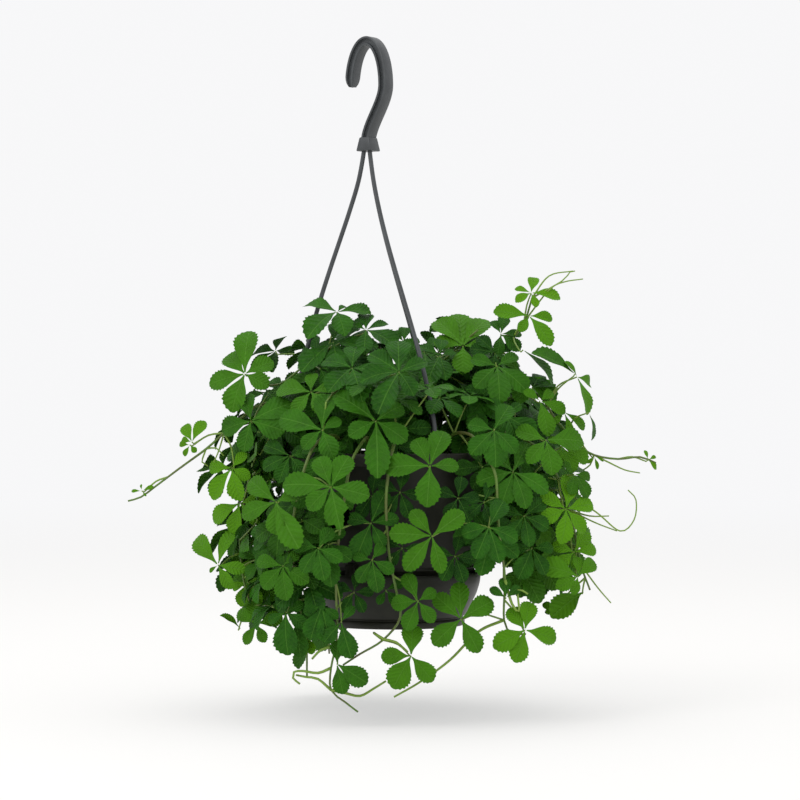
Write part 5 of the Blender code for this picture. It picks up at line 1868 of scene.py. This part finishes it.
@dataclass
class Thicket:
    """The leaves behind and between those of the solids: front, top, sides and back, by a seeded rule."""

    growth: Growth
    seed: int = 8
    grid_px: int = 23
    layers: tuple[float, ...] = (11 * MM, 27 * MM, 46 * MM)
    room: float = 12 * MM
    longest_stalk: float = 64 * MM
    dome_h: float = 70 * MM
    dome_r: float = 132 * MM
    skirt_r: float = 108 * MM
    taken: list[Vector] = field(default_factory=list)

    def add_seen(self) -> None:
        """The leaves of the picture that only the scene has."""
        for leaf in map(PictureLeaf._make, MORE_LEAVES):
            # Painted shade: a listed leaf with no youth is one of the dark leaves deep in the plant, and
            # gets the darkest green
            self.add(self.growth.leaf_seen(leaf), leaf.youth, 0.3 if leaf.youth else 0.0, True, leaf.vine)

    def add(self, blade: Blade, youth: float, shade: float, fine: bool, name: str = "") -> None:
        """Adds a leaf to the nearest stem, where it keeps within the solids' box and the picture's foliage.

        Args:
            blade: The leaf's blade.
            youth: How young it is.
            shade: How light its green is, by random tone and by painted shade, darker for leaves deep in the
                plant.
            fine: Whether it is modelled finely.
            name: The vine, where it is known.
        """
        if not name:
            if not all(self.in_box(tip, MM) for tip in blade.tips):
                return
            if not all(inside(pixel(blade.junction.lerp(tip, 0.9)), MASS) for tip in blade.tips):
                return
        best = None
        for vine, route in self.growth.routes.items():
            if name and vine != name:
                continue
            for k in range(2, len(route) - 1):
                for t in (0.0, 0.5):
                    point = route[k].lerp(route[k + 1], t)
                    arm = point - blade.junction
                    cost = arm.length + max(0.0, arm.normalized().dot(blade.normal)) * 25 * MM
                    if best is None or cost < best[0]:
                        best = (cost, vine, point)
        cost, vine, point = best
        if cost > self.longest_stalk and not name:
            return
        leave = blade.junction - blade.normal * 2.5 * MM
        lift = (Vector((0, 0, 0.12)) - blade.normal * 0.1) * (point - leave).length
        middle = leave.lerp(point, 0.45) + lift
        self.taken.append(blade.junction)
        self.growth.leaves[vine].append(Grown(blade, [leave, middle, point], youth, shade, fine))

    @staticmethod
    def in_box(place: Vector, margin: float) -> bool:
        """Whether a place is within the solids' box, by a margin."""
        return all(CAD_BOX[0][i] + margin < place[i] < CAD_BOX[1][i] - margin for i in range(3))

    def has_room(self, place: Vector) -> bool:
        """Whether a leaf may spring here: off the other leaves and the pot, and within the solids' box.

        Args:
            place: The place.

        Returns:
            True where it may.
        """
        crowded = any((place - other).length < self.room for other in self.taken)
        if crowded or not self.in_box(place, 6 * MM):
            return False
        flat = Vector((place.x - AXIS.x, place.y, 0)).length
        return place.z > RIM_Z + 12 * MM or flat > RIM_R + 9 * MM

    def blade_at(self, place: Vector, facing: Vector, rng: random.Random) -> Blade:
        """A leaf of five leaflets that faces a way and hangs.

        Args:
            place: Where its leaflets meet.
            facing: The way that it faces.
            rng: The seeded source of its variety.

        Returns:
            The blade.
        """
        normal = facing.normalized()
        pointing = Vector((normal.x, normal.y, 0)) * 0.4 - Vector((0, 0, 1))
        pointing += normal.cross(Vector((0, 0, 1))) * rng.uniform(-0.9, 0.9)
        pointing = (pointing - normal * pointing.dot(normal)).normalized()
        size = rng.uniform(24, 34) * MM
        tips = []
        for angle, share in zip(LEAFLET_ANGLES, LEAFLET_SHARES):
            turn = Matrix.Rotation(radians(angle + rng.uniform(-9, 9)), 3, normal)
            tips.append(place + (turn @ pointing) * size * share * rng.uniform(0.85, 1.08))
        return Blade(place, normal, tips)

    def add_front(self, rng: random.Random) -> None:
        """Layers behind the leaves that the picture shows.

        Args:
            rng: The seeded source of its variety.
        """
        leaves = [PictureLeaf._make(row) for row in SEEN_LEAVES]
        for number, back in enumerate(self.layers):
            for y in range(330, 626, self.grid_px):
                for x in range(232, 572, self.grid_px):
                    spot = (x + rng.uniform(-9, 9), y + rng.uniform(-9, 9))
                    turn = rng.uniform(-0.5, 0.5)
                    lift = rng.uniform(0.2, 1.0)
                    (x1, y1), (x2, y2) = DARK_GAP
                    if not inside(spot, CANOPY) or (x1 < spot[0] < x2 and y1 < spot[1] < y2):
                        continue
                    near = sorted(leaves, key=lambda leaf: dist((leaf.x, leaf.y), spot))[:3]
                    place = seen(*spot, max(leaf.depth for leaf in near) * MM + back)
                    if not self.has_room(place):
                        continue
                    out = Vector((place.x - AXIS.x, place.y, 0)).normalized()
                    facing = out * 0.7 + Vector((turn, -0.7, lift))
                    # Painted shade: each layer further back is given less youth and a darker green, for the
                    # shadow deep in the plant
                    youth = 0.6 * near[0].youth / (1 + number)
                    blade = self.blade_at(place, facing, rng)
                    self.add(blade, youth, rng.uniform(0.0, 0.6) / (1 + number), number == 0)

    def add_top(self, rng: random.Random) -> None:
        """The dome over the pot, on a spiral from its middle outwards.

        Args:
            rng: The seeded source of its variety.
        """
        count = 52
        for k in range(count):
            radius = 88 * MM * ((k + 0.5) / count) ** 0.5
            azimuth = 137.5 * k
            height = self.dome_h * (1 - (radius / self.dome_r) ** 2) ** 0.5 + rng.uniform(-16, 2) * MM
            place = AXIS + polar(radius, azimuth, RIM_Z + height)
            if not self.has_room(place):
                continue
            facing = polar(0.5, azimuth, 1.0) + Vector((rng.uniform(-0.4, 0.4), rng.uniform(-0.4, 0.4), 0))
            self.add(self.blade_at(place, facing, rng), rng.uniform(0, 0.4), rng.uniform(0.1, 0.8), True)

    def add_skirt(self, rng: random.Random) -> None:
        """The leaves that hang round the sides and the back of the pot.

        Args:
            rng: The seeded source of its variety.
        """
        for azimuth in range(-12, 196, 12):
            for drop in range(-62, 132, 20):
                turn = azimuth + rng.uniform(-5, 5)
                z = RIM_Z - (drop + rng.uniform(-7, 7)) * MM
                radius = self.skirt_r + rng.uniform(-7, 12) * MM - max(0.0, z - RIM_Z) * 0.45
                place = AXIS + polar(radius, turn, z)
                lift = rng.uniform(0.2, 1.0)
                youth = rng.uniform(0, 0.6)
                shade = rng.uniform(0.1, 0.8)
                if not self.has_room(place):
                    continue
                facing = polar(0.9, turn + rng.uniform(-25, 25), lift)
                self.add(self.blade_at(place, facing, rng), youth, shade, True)

    def build(self) -> None:
        """All of it, one layer after the other, so that no two leaves spring from one place."""
        self.taken = [leaf.blade.junction for leaves in self.growth.leaves.values() for leaf in leaves]
        self.add_seen()
        rng = random.Random(self.seed)
        self.add_front(rng)
        self.add_top(rng)
        self.add_skirt(rng)
        log.info("leaves: %d", sum(len(leaves) for leaves in self.growth.leaves.values()))


# A leaflet's toothed edge: how far along the rib and how far off it, as shares of the leaflet's length
TOOTHED_EDGE = (
    (0.00, 0.018), (0.07, 0.030), (0.14, 0.052), (0.21, 0.086), (0.28, 0.127), (0.36, 0.174),
    (0.44, 0.216), (0.51, 0.250), (0.54, 0.240), (0.60, 0.284), (0.62, 0.258), (0.69, 0.298),
    (0.712, 0.258), (0.78, 0.284), (0.802, 0.236), (0.875, 0.238), (0.888, 0.184), (0.95, 0.160),
    (0.956, 0.104), (0.995, 0.056),
)


@dataclass
class Leaflet:
    """One leaflet, modelled once and laid along each rib.

    The lift is how far its edges rise from the rib, and the wave how far they ripple, as shares of its
    length.
    """

    half: float = 0.2 * MM
    lift: float = 0.075
    wave: float = 0.02
    widest: float = 36 * MM

    def lay(
        self,
        draft: MeshDraft,
        blade: Blade,
        tip: Vector,
        tint: tuple[float, float],
        fine: bool,
        wide: float,
        rng: random.Random,
    ) -> None:
        """Lays the leaflet from the blade's junction to a tip.

        Args:
            draft: The mesh that it joins.
            blade: The leaf's blade.
            tip: The leaflet's tip.
            tint: Youth and shade.
            fine: Whether it has four strips across, or two.
            wide: How wide it is, 1 for the usual.
            rng: The seeded source of its variety.
        """
        columns = (-1, -0.5, 0, 0.5, 1) if fine else (-1, 0, 1)
        last_column = len(columns) - 1
        arm = tip - blade.junction
        length = arm.length
        across = blade.normal.cross(arm).normalized()
        fold = self.lift * rng.uniform(0.5, 1.6)
        droop = 0.10 * rng.uniform(0.9, 1.15)
        arch = rng.uniform(0.01, 0.075)
        twist = rng.uniform(-0.16, 0.16)
        phase = rng.uniform(0, 2 * pi)
        wide = min(wide * rng.uniform(0.88, 1.12), self.widest / length)
        start = 1.2 * MM / length

        def place(u: float, v: float, side: float) -> Vector:
            """A point of the leaflet at shares along and across, on one of its faces."""
            u = start + (1 - start) * u
            rise = fold * abs(v) / 0.28 - droop * u**3 + twist * v * u
            rise += self.wave * sin(9 * u + phase + 2 * v) * abs(v) / 0.28
            rise += arch * sin(pi * u)
            off = length * rise + side * self.half
            return blade.junction + arm * u + across * length * v + blade.normal * off

        def rows(face: int) -> list[list[int]]:
            """Numbers of the points of one face, row by row; edge points are shared."""
            found = []
            for k, (u, w) in enumerate(TOOTHED_EDGE):
                row = []
                for j, share in enumerate(columns):
                    edge = k == 0 or j in (0, last_column)
                    if edge and face:
                        row.append(top[k][j])
                        continue
                    v = w * wide * share
                    inner_u = u if j in (0, last_column) else u * 0.997 + 0.003
                    side = 0 if edge else 1 - 2 * face
                    skin = (*tint, float(face))
                    row.append(draft.point(place(inner_u, v, side), (u, 0.5 + v), skin, edge))
                found.append(row)
            return found

        top = rows(0)
        under = rows(1)
        end = draft.point(place(1.0, 0, 0), (1.0, 0.5), (*tint, 0.0), rim=True)
        for grid, turn in ((top, 1), (under, -1)):
            for low, high in zip(grid, grid[1:]):
                for j in range(last_column):
                    draft.face((low[j], low[j + 1], high[j + 1], high[j])[::turn], Skin.LEAF)
            last = grid[-1]
            for j in range(last_column):
                draft.face((last[j], last[j + 1], end)[::turn], Skin.LEAF)


@dataclass
class Plant:
    """All the vines, each one piece: stem, stalks, leaves and tendrils."""

    growth: Growth
    leaflet: Leaflet = field(default_factory=Leaflet)
    seed: int = 21

    def build_vine(self, name: str, materials: Sequence[bpy.types.Material], rng: random.Random) -> None:
        """One vine in place of its CAD node.

        Args:
            name: The vine.
            materials: Leaf and stem finishes.
            rng: The seeded source of its variety.
        """
        draft = MeshDraft()
        route = self.growth.routes[name]
        fine = smooth_route(route, 6 * MM)
        radii = [STEM_R * (1 - 0.5 * k / len(fine)) for k in range(len(fine))]
        draft.stem(fine, radii, 8, 0.15)
        for vine, way in SEEN_TENDRILS + MORE_TENDRILS:
            if vine == name:
                points = [seen(x, y, depth * MM) for x, y, depth in way]
                points[0] = min(route[2:], key=lambda point: (point - points[0]).length)
                tendril = smooth_route(points, 4 * MM)
                count = len(tendril)
                thick = SHOOT_R.get(name, TENDRIL_R)
                draft.stem(tendril, [(1 - 0.4 * k / count) * thick for k in range(count)], 6, 0.8)
        for leaf in self.growth.leaves[name]:
            way = [leaf.blade.junction, *leaf.stalk]
            stalk = smooth_route(way, 4 * MM)
            count = len(stalk)
            radii = [(0.55 + 0.3 * k / count) * MM for k in range(count)]
            draft.stem(stalk, radii, 6, 0.4 + 0.5 * leaf.youth)
            for tip in leaf.blade.tips:
                tint = (leaf.youth, leaf.shade + rng.uniform(-0.1, 0.1))
                self.leaflet.lay(draft, leaf.blade, tip, tint, leaf.fine, leaf.wide, rng)
        piece = draft.build(f"{name}_foliage", materials)
        place_piece(piece, "foliage", name)

    def build(self, materials: Sequence[bpy.types.Material]) -> None:
        """All the vines.

        Args:
            materials: Leaf and stem finishes.
        """
        rng = random.Random(self.seed)
        for name in self.growth.routes:
            self.build_vine(name, materials, rng)


def main() -> None:
    """Builds the studio and dresses the plant."""
    logging.basicConfig(level=logging.INFO, format="%(message)s")
    Studio().build()
    hanger = MouldedPlastic("hanger_polypropylene", "#36393B", "#4E5254", roughness=0.36).build()
    container = MouldedPlastic("pot_polypropylene", "#1C1D15", "#2D2E22", roughness=0.4, sheen=0.3).build()
    Hook().build(hanger)
    strands = [
        Strand("strand_left", 0.77, 1.0),
        Strand("strand_front", 1.0, 0.6),
        Strand("strand_back", 1.0, 0.6),
    ]
    for strand in strands:
        strand.build(hanger)
    Pot().build(container)
    Saucer().build(container)
    Soil().build(PeatMix().build())
    growth = Growth()
    growth.route_stems([strand.route() for strand in strands])
    growth.settle_leaves()
    Thicket(growth).build()
    Plant(growth).build([LeafSkin().build(), GreenStem().build()])


if __name__ == "__main__":
    main()
